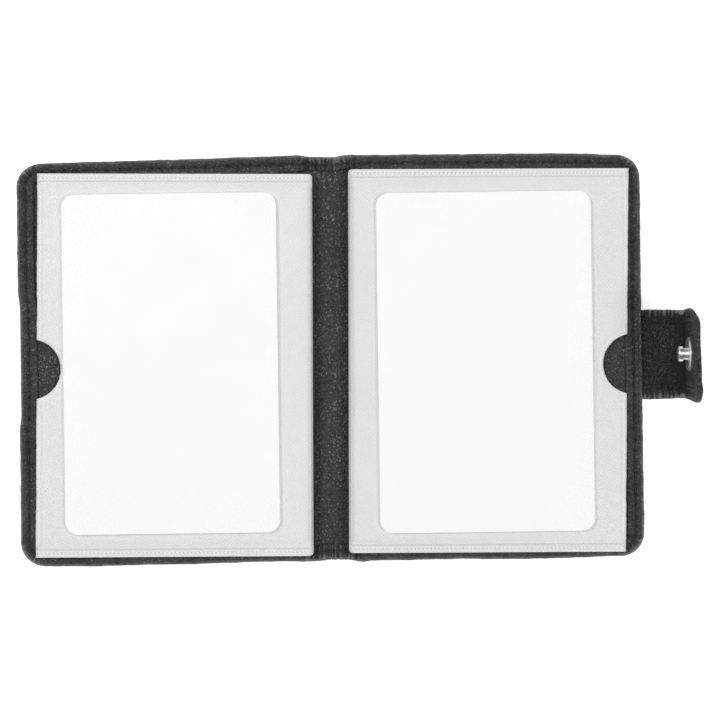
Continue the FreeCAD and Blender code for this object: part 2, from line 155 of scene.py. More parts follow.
def walkRound(cols, rows, cornerSteps, openEnd):
    # each step round the rim: the lattice point it starts from and the way out from there
    lastCol, lastRow = len(cols) - 1, len(rows) - 1

    def corner(ix, iy, start):
        turns = [math.radians(start + 90 * k / cornerSteps) for k in range(1, cornerSteps)]
        return [(ix, iy, math.cos(a), math.sin(a)) for a in turns]

    walk = [(ix, 0, 0, -1) for ix in range(lastCol + 1)]
    walk += corner(lastCol, 0, -90)
    walk += [(lastCol, iy, 1, 0) for iy in range(lastRow + 1)]
    walk += corner(lastCol, lastRow, 0)
    walk += [(ix, lastRow, 0, 1) for ix in range(lastCol, -1, -1)]
    if not openEnd:
        walk += corner(0, lastRow, 90)
        walk += [(0, iy, -1, 0) for iy in range(lastRow, -1, -1)]
        walk += corner(0, 0, 180)
    return walk


def flatPanel(cols, rows, radius, profile, cornerSteps, stitchInset, openEnd=False):
    # profile is a list of (inset, height, height at the fold, how far round to the inner face)
    walk = walkRound(cols, rows, cornerSteps, openEnd)
    nx, ny, ring = len(cols), len(rows), len(walk)
    gx, gy = np.meshgrid(cols, rows, indexing="ij")
    gx, gy = gx.ravel(), gy.ravel()
    startX = np.array([cols[w[0]] for w in walk])
    startY = np.array([rows[w[1]] for w in walk])
    outX = np.array([w[2] for w in walk], float)
    outY = np.array([w[3] for w in walk], float)
    lineX = startX + outX * (radius - stitchInset)
    lineY = startY + outY * (radius - stitchInset)
    closing = [] if openEnd else [0]
    order = list(range(ring)) + closing
    gaps = np.hypot(np.diff(lineX[order]), np.diff(lineY[order]))
    along = np.concatenate([[0], np.cumsum(gaps)])
    inArc = (np.abs(outX) > 0.001) & (np.abs(outY) > 0.001)
    toCorner = np.minimum(np.abs(startX - cols[-1]), np.abs(startX - cols[0]) if not openEnd else 1e6)
    toCorner = np.maximum(toCorner, np.minimum(np.abs(startY - rows[-1]), np.abs(startY - rows[0])))
    nearArc = np.where(inArc, 1.0, 1 - smooth(toCorner, 0.0, 1.6))
    flat = {k: [] for k in ("x", "y", "inset", "outX", "outY", "along", "arc", "low", "fold", "up")}

    def put(x, y, inset, ox, oy, s, arc, row):
        n = len(x)
        for key, value in zip(flat, (x, y, inset, ox, oy, s, arc, row[1], row[2], row[3])):
            flat[key].append(np.broadcast_to(np.asarray(value, float), (n,)))

    edgeX, edgeY = cols[-1] + radius, rows[-1] + radius
    reach = np.minimum(edgeX - (gx if openEnd else np.abs(gx)), edgeY - np.abs(gy))
    put(gx, gy, reach, 0, 0, 0, 0, profile[0])
    put(gx, gy, reach, 0, 0, 0, 0, profile[-1])
    for row in profile[1:-1]:
        put(startX + outX * (radius - row[0]), startY + outY * (radius - row[0]), row[0],
            outX, outY, along[:ring], nearArc, row)
    flat = {key: np.concatenate(value) for key, value in flat.items()}
    lattice = np.array([w[0] * ny + w[1] for w in walk])
    count = nx * ny

    def ringIndex(k):
        if k == 0:
            return lattice
        if k == len(profile) - 1:
            return lattice + count
        return 2 * count + (k - 1) * ring + np.arange(ring)

    bands = []
    for k in range(len(profile) - 1):
        a, b = ringIndex(k), ringIndex(k + 1)
        band = []
        for i in range(ring if not openEnd else ring - 1):
            j = (i + 1) % ring
            face = [a[i], a[j], b[j], b[i]]
            corners = [v for n, v in enumerate(face) if v != face[n - 1]]
            if len(corners) > 2:
                band.append(tuple(int(v) for v in corners))
        bands.append(band)
    under, over = [], []
    for ix in range(nx - 1):
        for iy in range(ny - 1):
            a = ix * ny + iy
            under.append((a, a + 1, a + ny + 1, a + ny))
            over.append((count + a, count + a + ny, count + a + ny + 1, count + a + 1))
    line = {"x": lineX[order], "y": lineY[order], "outX": outX[order], "outY": outY[order],
            "arc": nearArc[order], "along": along, "length": along[-1]}
    return {"flat": flat, "bands": bands, "under": under, "over": over, "line": line}


def onLine(line, along):
    # flat places on the stitch line
    return {key: np.interp(along, line["along"], line[key]) for key in ("x", "y", "outX", "outY", "arc")}


def threadRow(places, form, size, rise, up):
    # stitches that dip into their holes at both ends; form puts flat places where they belong
    points, faces, marks = [], [], []
    run, sides, r = 9, 7, size["thread"] / 2
    t = np.linspace(-1, 1, run)
    for n, middle in enumerate(places):
        along = middle + t * size["stitch"] / 2
        lift = rise - size["dip"] * np.abs(t) ** 5
        path = form(along, lift, up)
        heading = np.gradient(path, axis=0)
        heading /= np.linalg.norm(heading, axis=1)[:, None]
        above = form(along, lift + (1 if up else -1), up) - path
        above /= np.linalg.norm(above, axis=1)[:, None]
        aside = np.cross(heading, above)
        above = np.cross(aside, heading)
        thick = r * np.sqrt(np.clip(1.04 - np.abs(t) ** 6, 0.05, 1))
        base = len(points)
        for j in range(run):
            for k in range(sides):
                a = 2 * math.pi * k / sides
                points.append(path[j] + thick[j] * (math.cos(a) * aside[j] + math.sin(a) * above[j]))
                marks.append((along[j], k / sides, n * 0.37 % 1))
        for j in range(run - 1):
            for k in range(sides):
                a, b = base + j * sides + k, base + j * sides + (k + 1) % sides
                faces.append((a, b, b + sides, a + sides))
        faces.append(tuple(base + k for k in range(sides))[::-1])
        faces.append(tuple(base + (run - 1) * sides + k for k in range(sides)))
    return points, faces, marks


def stitchBothFaces(name, places, form, size):
    # a stitch on the hem, and the same thread where it comes out on the outer face
    points, faces, marks = threadRow(places, form, size, size["rise"], True)
    morePoints, moreFaces, moreMarks = threadRow(places, form, size, 0.0, False)
    faces += [tuple(i + len(points) for i in f) for f in moreFaces]
    marks = {"pattern": np.array(marks + moreMarks)}
    return makePiece(name, np.array(points + morePoints), faces, marks, thread)


# small helpers for materials

def addNode(tree, kind, place, **settings):
    node = tree.nodes.new(kind)
    node.location = place
    for key, value in settings.items():
        setattr(node, key, value)
    return node


def newGroup(name, inputs, outputs):
    tree = bpy.data.node_groups.new(name, "ShaderNodeTree")
    for label, kind, value in inputs:
        socket = tree.interface.new_socket(label, in_out="INPUT", socket_type=kind)
        if value is not None:
            socket.default_value = value
    for label, kind in outputs:
        tree.interface.new_socket(label, in_out="OUTPUT", socket_type=kind)
    start = addNode(tree, "NodeGroupInput", (-900, 0))
    end = addNode(tree, "NodeGroupOutput", (900, 0))
    return tree, start, end


def sums(tree, kind, place, a, b=None, c=None):
    # a maths node with its values or links filled in
    node = addNode(tree, "ShaderNodeMath", place, operation=kind)
    for socket, value in zip(node.inputs, (a, b, c)):
        if value is None:
            continue
        if isinstance(value, (int, float)):
            socket.default_value = value
        else:
            tree.links.new(value, socket)
    return node.outputs[0]


def remap(tree, place, value, low, high, to=(0, 1), kind="SMOOTHSTEP"):
    node = addNode(tree, "ShaderNodeMapRange", place, interpolation_type=kind)
    tree.links.new(value, node.inputs["Value"])
    node.inputs["From Min"].default_value = low
    node.inputs["From Max"].default_value = high
    node.inputs["To Min"].default_value = to[0]
    node.inputs["To Max"].default_value = to[1]
    return node.outputs["Result"]


def noise(tree, place, vector, scale, detail=2.0, rough=0.5):
    node = addNode(tree, "ShaderNodeTexNoise", place)
    tree.links.new(vector, node.inputs["Vector"])
    node.inputs["Scale"].default_value = scale
    node.inputs["Detail"].default_value = detail
    node.inputs["Roughness"].default_value = rough
    return node.outputs["Fac"]


def colourMix(tree, place, fac, a, b):
    node = addNode(tree, "ShaderNodeMix", place, data_type="RGBA")
    for socket, value in ((node.inputs["Factor"], fac), (node.inputs["A"], a), (node.inputs["B"], b)):
        if isinstance(value, (tuple, list)):
            socket.default_value = tuple(value) if len(value) == 4 else (*value, 1)
        elif isinstance(value, (int, float)):
            socket.default_value = value
        else:
            tree.links.new(value, socket)
    return node.outputs["Result"]


def grey(value):
    return (value, value, value * 0.99, 1)


def newMaterial(name):
    mat = bpy.data.materials.new(name)
    mat.use_nodes = True
    tree = mat.node_tree
    shader = tree.nodes["Principled BSDF"]
    shader.location = (900, 0)
    tree.nodes["Material Output"].location = (1200, 0)
    return mat, tree, shader


def useGroup(tree, group, place, **values):
    node = addNode(tree, "ShaderNodeGroup", place)
    node.node_tree = group
    for key, value in values.items():
        socket = node.inputs[key]
        if isinstance(value, (int, float)):
            socket.default_value = value
        else:
            tree.links.new(value, socket)
    return node.outputs


def bump(tree, place, height, distance, strength=1.0, normal=None):
    node = addNode(tree, "ShaderNodeBump", place)
    node.inputs["Distance"].default_value = distance
    node.inputs["Strength"].default_value = strength
    tree.links.new(height, node.inputs["Height"])
    if normal is not None:
        tree.links.new(normal, node.inputs["Normal"])
    return node.outputs["Normal"]


def flatPlace(tree, place=(-900, 0)):
    # where a point lies in the flat pattern, in millimetres
    return addNode(tree, "ShaderNodeAttribute", place, attribute_name="pattern").outputs["Vector"]


def marked(tree, name, place):
    return addNode(tree, "ShaderNodeAttribute", place, attribute_name=name).outputs["Fac"]


def solidPlace(tree, place=(-1100, 0)):
    # object coordinates in millimetres, for the CAD pieces
    coords = addNode(tree, "ShaderNodeTexCoord", place).outputs["Object"]
    node = addNode(tree, "ShaderNodeVectorMath", (place[0] + 200, place[1]), operation="SCALE")
    tree.links.new(coords, node.inputs[0])
    node.inputs["Scale"].default_value = 1000
    return node.outputs[0]


# shared effects

def buildGrain():
    tree, start, end = newGroup("leather grain", [
        ("Vector", "NodeSocketVector", None), ("Cell", "NodeSocketFloat", 0.5),
        ("Wrinkle", "NodeSocketFloat", 0.4)],
        [("Height", "NodeSocketFloat"), ("Crease", "NodeSocketFloat"), ("Tone", "NodeSocketFloat"),
         ("Glint", "NodeSocketFloat")])
    place = start.outputs["Vector"]
    drift = addNode(tree, "ShaderNodeTexNoise", (-700, -300))
    drift.inputs["Scale"].default_value = 1.1
    drift.inputs["Detail"].default_value = 3
    tree.links.new(place, drift.inputs["Vector"])
    centred = addNode(tree, "ShaderNodeVectorMath", (-520, -300), operation="SUBTRACT")
    tree.links.new(drift.outputs["Color"], centred.inputs[0])
    centred.inputs[1].default_value = (0.5, 0.5, 0.5)
    small = addNode(tree, "ShaderNodeVectorMath", (-360, -300), operation="SCALE")
    tree.links.new(centred.outputs[0], small.inputs[0])
    small.inputs["Scale"].default_value = 0.7
    moved = addNode(tree, "ShaderNodeVectorMath", (-200, -200), operation="ADD")
    tree.links.new(place, moved.inputs[0])
    tree.links.new(small.outputs[0], moved.inputs[1])
    scale = sums(tree, "DIVIDE", (-500, 200), 1.0, start.outputs["Cell"])
    pebble = addNode(tree, "ShaderNodeTexVoronoi", (0, 200), feature="DISTANCE_TO_EDGE")
    tree.links.new(moved.outputs[0], pebble.inputs["Vector"])
    tree.links.new(scale, pebble.inputs["Scale"])
    finer = addNode(tree, "ShaderNodeTexVoronoi", (0, -50), feature="F1")
    tree.links.new(moved.outputs[0], finer.inputs["Vector"])
    tree.links.new(sums(tree, "MULTIPLY", (-300, 60), scale, 1.25), finer.inputs["Scale"])
    dome = remap(tree, (200, 200), pebble.outputs["Distance"], 0.02, 0.38)
    speck = remap(tree, (200, -50), finer.outputs["Distance"], 0.1, 0.8, (1, 0))
    fine = noise(tree, (0, -300), place, 9.0, 3)
    wrinkle = noise(tree, (0, -500), moved.outputs[0], 0.8, 4, 0.62)
    offLine = sums(tree, "ABSOLUTE", (100, -560), sums(tree, "SUBTRACT", (50, -560), wrinkle, 0.5))
    vein = sums(tree, "MULTIPLY", (200, -560), remap(tree, (150, -560), offLine, 0.0, 0.055, (1, 0)),
                start.outputs["Wrinkle"])
    soft = sums(tree, "MULTIPLY", (400, 0), speck, 0.3)
    body = sums(tree, "MULTIPLY_ADD", (500, 200), dome, 0.62, soft)
    grit = sums(tree, "MULTIPLY_ADD", (600, 0), fine, 0.16, body)
    deep = sums(tree, "MULTIPLY", (400, -400), wrinkle, start.outputs["Wrinkle"])
    tree.links.new(sums(tree, "ADD", (750, 100), grit, deep), end.inputs["Height"])
    tree.links.new(sums(tree, "MAXIMUM", (700, 350), sums(tree, "SUBTRACT", (600, 350), 1.0, dome), vein),
                   end.inputs["Crease"])
    tree.links.new(noise(tree, (400, -600), place, 0.16, 3, 0.55), end.inputs["Tone"])
    # painted highlights: glints on the tops of some pebbles, gathered in patches
    patch = remap(tree, (200, -750), noise(tree, (0, -750), place, 0.14, 3, 0.6), 0.36, 0.62, (0.15, 1))
    top = remap(tree, (200, -900), finer.outputs["Distance"], 0.14, 0.5, (1, 0))
    picked = remap(tree, (200, -1050), noise(tree, (0, -1050), place, 1.3, 2), 0.44, 0.6)
    chosen = sums(tree, "MULTIPLY", (400, -850), top, picked)
    tree.links.new(sums(tree, "MULTIPLY", (500, -800), chosen, patch), end.inputs["Glint"])
    return tree


# a patchy mask from the edge marks, which hold edge wear and painted highlights
def buildWearAndHighlight():
    tree, start, end = newGroup("edge wear and highlight", [
        ("Vector", "NodeSocketVector", None), ("Edge", "NodeSocketFloat", 0.0),
        ("Amount", "NodeSocketFloat", 0.5)], [("Mask", "NodeSocketFloat")])
    patch = noise(tree, (-500, 100), start.outputs["Vector"], 0.5, 4, 0.65)
    nick = noise(tree, (-500, -150), start.outputs["Vector"], 4.5, 3, 0.7)
    wide = sums(tree, "MULTIPLY", (-350, 100), patch, 0.75)
    both = sums(tree, "MULTIPLY_ADD", (-250, 0), nick, 0.45, wide)
    level = sums(tree, "MULTIPLY", (0, 0), both, start.outputs["Edge"])
    mask = remap(tree, (200, 0), level, 0.22, 0.75)
    tree.links.new(sums(tree, "MULTIPLY", (450, 0), mask, start.outputs["Amount"]), end.inputs["Mask"])
    return tree


def buildHandling():
    tree, start, end = newGroup("handling marks", [
        ("Vector", "NodeSocketVector", None), ("Size", "NodeSocketFloat", 12.0)],
        [("Smudge", "NodeSocketFloat"), ("Speck", "NodeSocketFloat")])
    inverse = sums(tree, "DIVIDE", (-650, 0), 1.0, start.outputs["Size"])
    scaled = addNode(tree, "ShaderNodeVectorMath", (-450, 0), operation="SCALE")
    tree.links.new(start.outputs["Vector"], scaled.inputs[0])
    tree.links.new(inverse, scaled.inputs["Scale"])
    cloud = noise(tree, (-200, 100), scaled.outputs[0], 1.6, 5, 0.6)
    tree.links.new(remap(tree, (100, 100), cloud, 0.35, 0.7), end.inputs["Smudge"])
    dots = addNode(tree, "ShaderNodeTexVoronoi", (-200, -200), feature="F1")
    tree.links.new(start.outputs["Vector"], dots.inputs["Vector"])
    dots.inputs["Scale"].default_value = 0.9
    speck = remap(tree, (100, -200), dots.outputs["Distance"], 0.03, 0.07, (1, 0))
    tree.links.new(speck, end.inputs["Speck"])
    return tree


def buildTwill():
    tree, start, end = newGroup("twill emboss", [
        ("Vector", "NodeSocketVector", None), ("Pitch", "NodeSocketFloat", 0.4),
        ("Lean", "NodeSocketFloat", 0.8)], [("Height", "NodeSocketFloat")])
    parts = addNode(tree, "ShaderNodeSeparateXYZ", (-700, 0))
    tree.links.new(start.outputs["Vector"], parts.inputs[0])
    cosine = sums(tree, "COSINE", (-700, 250), start.outputs["Lean"])
    sine = sums(tree, "SINE", (-700, -250), start.outputs["Lean"])
    across = sums(tree, "MULTIPLY_ADD", (-400, 0), parts.outputs["X"], cosine,
                  sums(tree, "MULTIPLY", (-550, -100), parts.outputs["Y"], sine))
    drift = noise(tree, (-500, -400), start.outputs["Vector"], 0.35, 2)
    shifted = sums(tree, "MULTIPLY_ADD", (-250, -100), drift, 0.5, across)
    turns = sums(tree, "DIVIDE", (-100, 0), shifted, start.outputs["Pitch"])
    wave = sums(tree, "SINE", (100, 0), sums(tree, "MULTIPLY", (0, 0), turns, 2 * math.pi))
    along = sums(tree, "MULTIPLY_ADD", (-400, 350), parts.outputs["Y"], cosine,
                 sums(tree, "MULTIPLY", (-550, 350), parts.outputs["X"], sums(
                     tree, "MULTIPLY", (-650, 400), sine, -1.0)))
    knot = sums(tree, "SINE", (0, 350), sums(tree, "MULTIPLY", (-150, 350), along, 9.0))
    mixed = sums(tree, "MULTIPLY_ADD", (300, 100), knot, 0.25, wave)
    tree.links.new(sums(tree, "MULTIPLY_ADD", (500, 0), mixed, 0.4, 0.5), end.inputs["Height"])
    return tree


def buildWeldMarks():
    # rows of slanted bumps beside a welded edge, the ribs of a folded one and the ticks of a cut one
    tree, start, end = newGroup("weld marks", [
        ("Along", "NodeSocketFloat", 0.0), ("Up", "NodeSocketFloat", 0.0),
        ("FromEdge", "NodeSocketFloat", 10.0), ("FromFold", "NodeSocketFloat", 10.0),
        ("FromMouth", "NodeSocketFloat", 10.0),
        ("Bump pitch", "NodeSocketFloat", 1.02), ("Rib pitch", "NodeSocketFloat", 0.5)],
        [("Height", "NodeSocketFloat"), ("Line", "NodeSocketFloat"), ("Fold", "NodeSocketFloat"),
         ("Rib", "NodeSocketFloat"), ("Lump", "NodeSocketFloat")])
    edge, fold, mouth = start.outputs["FromEdge"], start.outputs["FromFold"], start.outputs["FromMouth"]

    def wave(y, value, pitch):
        turns = sums(tree, "DIVIDE", (-450, y), value, start.outputs[pitch])
        return sums(tree, "SINE", (-300, y), sums(tree, "MULTIPLY", (-350, y), turns, 2 * math.pi))

    def row(y, middle, half, slant):
        lean = sums(tree, "MULTIPLY_ADD", (-600, y), edge, slant, start.outputs["Along"])
        lump = remap(tree, (-150, y), wave(y, lean, "Bump pitch"), -0.5, 0.9)
        off = sums(tree, "ABSOLUTE", (-300, y - 150), sums(tree, "SUBTRACT", (-450, y - 150), edge, middle))
        band = remap(tree, (-150, y - 150), off, half * 0.5, half, (1, 0))
        return sums(tree, "MULTIPLY", (50, y), lump, band)

    lumps = row(400, 1.05, 0.3, 0.5)
    rows = sums(tree, "MULTIPLY_ADD", (250, 300), row(0, 2.6, 0.24, 0.5), 0.5, lumps)
    off = sums(tree, "ABSOLUTE", (-300, -400), sums(tree, "SUBTRACT", (-450, -400), edge, 1.95))
    line = remap(tree, (-100, -400), off, 0.1, 0.34, (1, 0))
    slope = sums(tree, "MULTIPLY_ADD", (-450, -600), fold, 0.55, start.outputs["Up"])
    foldBand = remap(tree, (-150, -800), fold, 0.3, 0.85, (1, 0))
    rib = remap(tree, (0, -600), wave(-600, slope, "Rib pitch"), -0.6, 0.8)
    ribbed = sums(tree, "MULTIPLY", (50, -650), rib, foldBand)
    near = remap(tree, (-150, -1000), mouth, 0.3, 0.55, (1, 0))
    tick = remap(tree, (0, -1100), wave(-1100, start.outputs["Up"], "Rib pitch"), -0.4, 0.5)
    ticks = sums(tree, "MULTIPLY", (50, -1000), tick, near)
    ticked = sums(tree, "MULTIPLY_ADD", (350, 100), ticks, 0.5, rows)
    high = sums(tree, "MULTIPLY_ADD", (400, 0), ribbed, 0.8, ticked)
    tree.links.new(sums(tree, "MULTIPLY_ADD", (600, 0), line, -0.35, high), end.inputs["Height"])
    tree.links.new(line, end.inputs["Line"])
    tree.links.new(foldBand, end.inputs["Fold"])
    tree.links.new(sums(tree, "ADD", (600, -600), ribbed, ticks), end.inputs["Rib"])
    tree.links.new(lumps, end.inputs["Lump"])
    return tree


def buildMetalWear():
    tree, start, end = newGroup("metal wear", [
        ("Vector", "NodeSocketVector", None)],
        [("Scratch", "NodeSocketFloat"), ("Haze", "NodeSocketFloat"), ("Height", "NodeSocketFloat")])
    stretched = addNode(tree, "ShaderNodeVectorMath", (-600, 100), operation="MULTIPLY")
    tree.links.new(start.outputs["Vector"], stretched.inputs[0])
    stretched.inputs[1].default_value = (14.0, 1.2, 2.0)
    lines = noise(tree, (-350, 100), stretched.outputs[0], 1.0, 3, 0.7)
    tree.links.new(remap(tree, (0, 100), lines, 0.56, 0.72), end.inputs["Scratch"])
    haze = noise(tree, (-350, -150), start.outputs["Vector"], 0.7, 4, 0.6)
    tree.links.new(remap(tree, (0, -150), haze, 0.35, 0.7), end.inputs["Haze"])
    tree.links.new(lines, end.inputs["Height"])
    return tree


def buildFibre():
    tree, start, end = newGroup("paper fibre", [
        ("Vector", "NodeSocketVector", None), ("Scale", "NodeSocketFloat", 3.0)],
        [("Height", "NodeSocketFloat"), ("Tone", "NodeSocketFloat")])
    scaled = addNode(tree, "ShaderNodeVectorMath", (-600, 0), operation="SCALE")
    tree.links.new(start.outputs["Vector"], scaled.inputs[0])
    tree.links.new(start.outputs["Scale"], scaled.inputs["Scale"])
    tree.links.new(noise(tree, (-300, 100), scaled.outputs[0], 1.0, 5, 0.7), end.inputs["Height"])
    tree.links.new(noise(tree, (-300, -150), scaled.outputs[0], 0.12, 3, 0.5), end.inputs["Tone"])
    return tree


grain = buildGrain()
wearAndHighlightGroup = buildWearAndHighlight()
handling = buildHandling()
twill = buildTwill()
weldMarks = buildWeldMarks()
metalWear = buildMetalWear()
fibre = buildFibre()
print("shared effects ready")


# leathers: one recipe, four finishes

def leather(name, look):
    mat, tree, shader = newMaterial(name)
    place = flatPlace(tree) if look["pattern"] else solidPlace(tree)
    skin = useGroup(tree, grain, (-500, 100), Vector=place, Cell=look["cell"], Wrinkle=look["wrinkle"])
    edge = marked(tree, "edge", (-900, -300))
    worn = useGroup(tree, wearAndHighlightGroup, (-500, -250), Vector=place, Edge=edge, Amount=look["wearAndHighlight"])
    hands = useGroup(tree, handling, (-500, -450), Vector=place, Size=18.0)
    tone = remap(tree, (-200, 250), skin["Tone"], 0.3, 0.7)
    base = colourMix(tree, (0, 250), tone, grey(look["dark"]), grey(look["light"]))
    shade = colourMix(tree, (200, 200), sums(tree, "MULTIPLY", (50, 50), skin["Crease"], look["crease"]),
                      base, grey(look["dark"] * 0.45))
    # painted highlights: the pebble glints take the same pale tone as the worn edges
    glint = sums(tree, "MULTIPLY", (150, 350), skin["Glint"], look["glint"])
    bright = colourMix(tree, (250, 350), glint, shade, grey(look["rubAndGlare"]))
    hollowShade = marked(tree, "hollowShade", (-900, -650))
    # painted shade: folds, stitch holes, grooves, the foot of the hem, the spine gutters and the strap's bend
    # go nearly black
    shadedHollows = colourMix(tree, (330, 350), sums(tree, "MULTIPLY", (200, 450), hollowShade, 0.8), bright, grey(0.002))
    # rubbed wear and the painted highlights from the edge marks both take the pale tone here
    rubAndHighlight = colourMix(tree, (400, 200), worn["Mask"], shadedHollows, grey(look["rubAndGlare"]))
    speck = sums(tree, "MULTIPLY", (400, 0), hands["Speck"], 0.25)
    dust = colourMix(tree, (600, 200), speck, rubAndHighlight, grey(0.32))
    tree.links.new(dust, shader.inputs["Base Color"])
    rough = sums(tree, "MULTIPLY_ADD", (200, -200), hands["Smudge"], 0.12, look["rough"])
    duller = sums(tree, "MULTIPLY_ADD", (400, -200), skin["Crease"], 0.12,
                  sums(tree, "MULTIPLY_ADD", (300, -350), hollowShade, 0.3, rough))
    tree.links.new(sums(tree, "MULTIPLY_ADD", (600, -200), worn["Mask"], -0.1, duller),
                   shader.inputs["Roughness"])
    shader.inputs["Specular IOR Level"].default_value = look["shine"]
    pores = bump(tree, (500, -400), skin["Height"], look["depth"], 0.9)
    tree.links.new(pores, shader.inputs["Normal"])
    return mat


leatherLooks = {
    "outer leather": {"pattern": True, "cell": 0.8, "wrinkle": 0.95, "wearAndHighlight": 0.75, "dark": 0.028,
                      "light": 0.076, "crease": 0.85, "rubAndGlare": 0.2, "rough": 0.42, "depth": 0.0004,
                      "shine": 0.5, "glint": 0.5},
    "lining leather": {"pattern": True, "cell": 0.8, "wrinkle": 0.5, "wearAndHighlight": 0.4, "dark": 0.03,
                       "light": 0.066, "crease": 0.95, "rubAndGlare": 0.26, "rough": 0.4, "depth": 0.00045,
                       "shine": 0.5, "glint": 0.7},
    # painted shade: the strap's tones are set darker than the covers' leather, for the shadow of its standing
    # tip
    "shaded strap leather": {"pattern": True, "cell": 0.62, "wrinkle": 0.8, "wearAndHighlight": 0.8, "dark": 0.005,
                      "light": 0.024, "crease": 0.8, "rubAndGlare": 0.22, "rough": 0.42, "depth": 0.0003,
                      "shine": 0.5, "glint": 0.45},
    "tongue leather": {"pattern": False, "cell": 0.6, "wrinkle": 0.5, "wearAndHighlight": 0.0, "dark": 0.008,
                       "light": 0.02, "crease": 0.5, "rubAndGlare": 0.1, "rough": 0.5, "depth": 0.0002,
                       "shine": 0.4, "glint": 0.2},
}
outerLeather, liningLeather, shadedStrapLeather, tongueLeather = [leather(*kind) for kind in leatherLooks.items()]


def threadMaterial():
    mat, tree, shader = newMaterial("waxed thread")
    place = flatPlace(tree)
    parts = addNode(tree, "ShaderNodeSeparateXYZ", (-700, 0))
    tree.links.new(place, parts.inputs[0])
    slant = sums(tree, "MULTIPLY_ADD", (-500, 0), parts.outputs["X"], 3.2, parts.outputs["Y"])
    ply = sums(tree, "SINE", (-300, 0), sums(tree, "MULTIPLY", (-400, 0), slant, 2 * math.pi * 2))
    lay = remap(tree, (-100, 0), ply, -0.9, 0.5)
    base = colourMix(tree, (200, 200), lay, grey(0.006), grey(0.03))
    hands = useGroup(tree, handling, (-300, -300), Vector=place, Size=6.0)
    tree.links.new(colourMix(tree, (400, 200), sums(tree, "MULTIPLY", (200, -100), hands["Smudge"], 0.3),
                             base, grey(0.05)), shader.inputs["Base Color"])
    tree.links.new(sums(tree, "MULTIPLY_ADD", (300, -200), lay, -0.15, 0.62), shader.inputs["Roughness"])
    tree.links.new(bump(tree, (500, -300), lay, 0.00004), shader.inputs["Normal"])
    return mat


thread = threadMaterial()
print("leathers ready")

# the album's skin: both covers and the spine in one hide, its edges turned in over the lining
album = {
    "halfWidth": -cadLow("front_cover_leather")[0],
    "halfLength": cadHigh("front_cover_leather")[1],
    "corner": 4.5,            # also how wide the turned-in hem is
    "rounding": 5.9,          # the corners are then worn rounder
    "hemTop": cadHigh("front_cover_leather")[2],
    "liningTop": cadHigh("front_lining")[2],
    "spineHem": cadHigh("spine_leather")[2],
    "spineTop": cadHigh("spine_lining")[2],
    "gutter": (5.7, 7.7),     # where the board starts to lift the lining
    # how far the head and foot edges swell or draw in, from the front cover to the back cover
    "headLine": ((-80, -0.8), (-60, -0.43), (-40, -0.06), (-15, 0.33), (-8, 0.66), (-3, 0.3), (1.8, 0.14),
                 (4.4, 0.66), (6.2, 0.72), (8, 0.42), (35, 0.36), (55, 0.22), (80, -0.45)),
    "footLine": ((-80, 0.45), (-62, 0.64), (-40, 0.5), (-15, 0.07), (-4, 0.36), (0, -0.06), (4, 0.02),
                 (6.8, 0.55), (10, 0.17), (30, 0.12), (50, 0.28), (80, -0.18)),
    "frontOut": 0.48, "backOut": 0.38,      # how far the hide stands out past the board at the fore edges
    "strapDent": 0.46,        # but not where the closed strap goes round
    "hemDrawnHead": 0.75, "hemDrawnFoot": 0.32,     # the hem is drawn narrower over the spine
    "gatherDepth": 0.42, "gatherPitch": 1.22, "gatherDraw": 0.16,
    "pleatDepth": 0.34, "pleatPitch": 1.05,
    "stitchInset": 2.2, "pitch": 2.75, "holeDepth": 0.3,
    "crown": 0.22,            # the spine strip is a little round between its gutters
    "socketX": (cadLow("snap_socket")[0] + cadHigh("snap_socket")[0]) / 2,
    "socketHole": (cadHigh("snap_socket")[0] - cadLow("snap_socket")[0]) / 2 + 0.1,
    "socketDepth": cadHigh("snap_socket")[2],
}


def albumProfile(a):
    # round the rim from the outer face to the foot of the hem
    hem, spine, r = a["hemTop"], a["spineHem"], 0.75
    k = spine / hem
    shape = [(a["corner"], 0, 0, 0), (3.4, 0, 0, 0), (2.6, 0, 0, 0), (2.4, 0.1, 0.1, 0), (2.2, 0.2, 0.2, 0),
             (2.0, 0.1, 0.1, 0), (1.8, 0, 0, 0), (1.2, 0, 0, 0)]
    for step in range(5):
        turn = math.pi / 2 * step / 4
        shape.append((r - r * math.sin(turn), r - r * math.cos(turn), (r - r * math.cos(turn)) * k, 0.05))
    shape += [(0, hem * 0.36, spine * 0.4, 0.25), (0, hem * 0.52, spine * 0.56, 0.5)]
    top = [(0.04, 0.80, 0.7), (0.16, 0.47, 0.85), (0.36, 0.22, 1), (0.65, 0.07, 1), (1.0, 0.0, 1),
           (1.3, 0.0, 1), (1.6, 0.04, 1), (1.85, 0.12, 1), (2.02, 0.2, 1), (2.2, 0.24, 1), (2.38, 0.2, 1),
           (2.56, 0.11, 1), (2.85, 0.03, 1), (3.2, 0.0, 1), (3.6, 0.0, 1), (3.95, 0.04, 1), (4.2, 0.12, 1),
           (4.36, 0.26, 1), (4.44, 0.42, 1), (4.48, 0.56, 1)]
    shape += [(inset, hem - drop, spine - drop * 0.8, up) for inset, drop, up in top]
    shape.append((a["corner"], a["liningTop"], a["spineTop"], 1))
    return shape


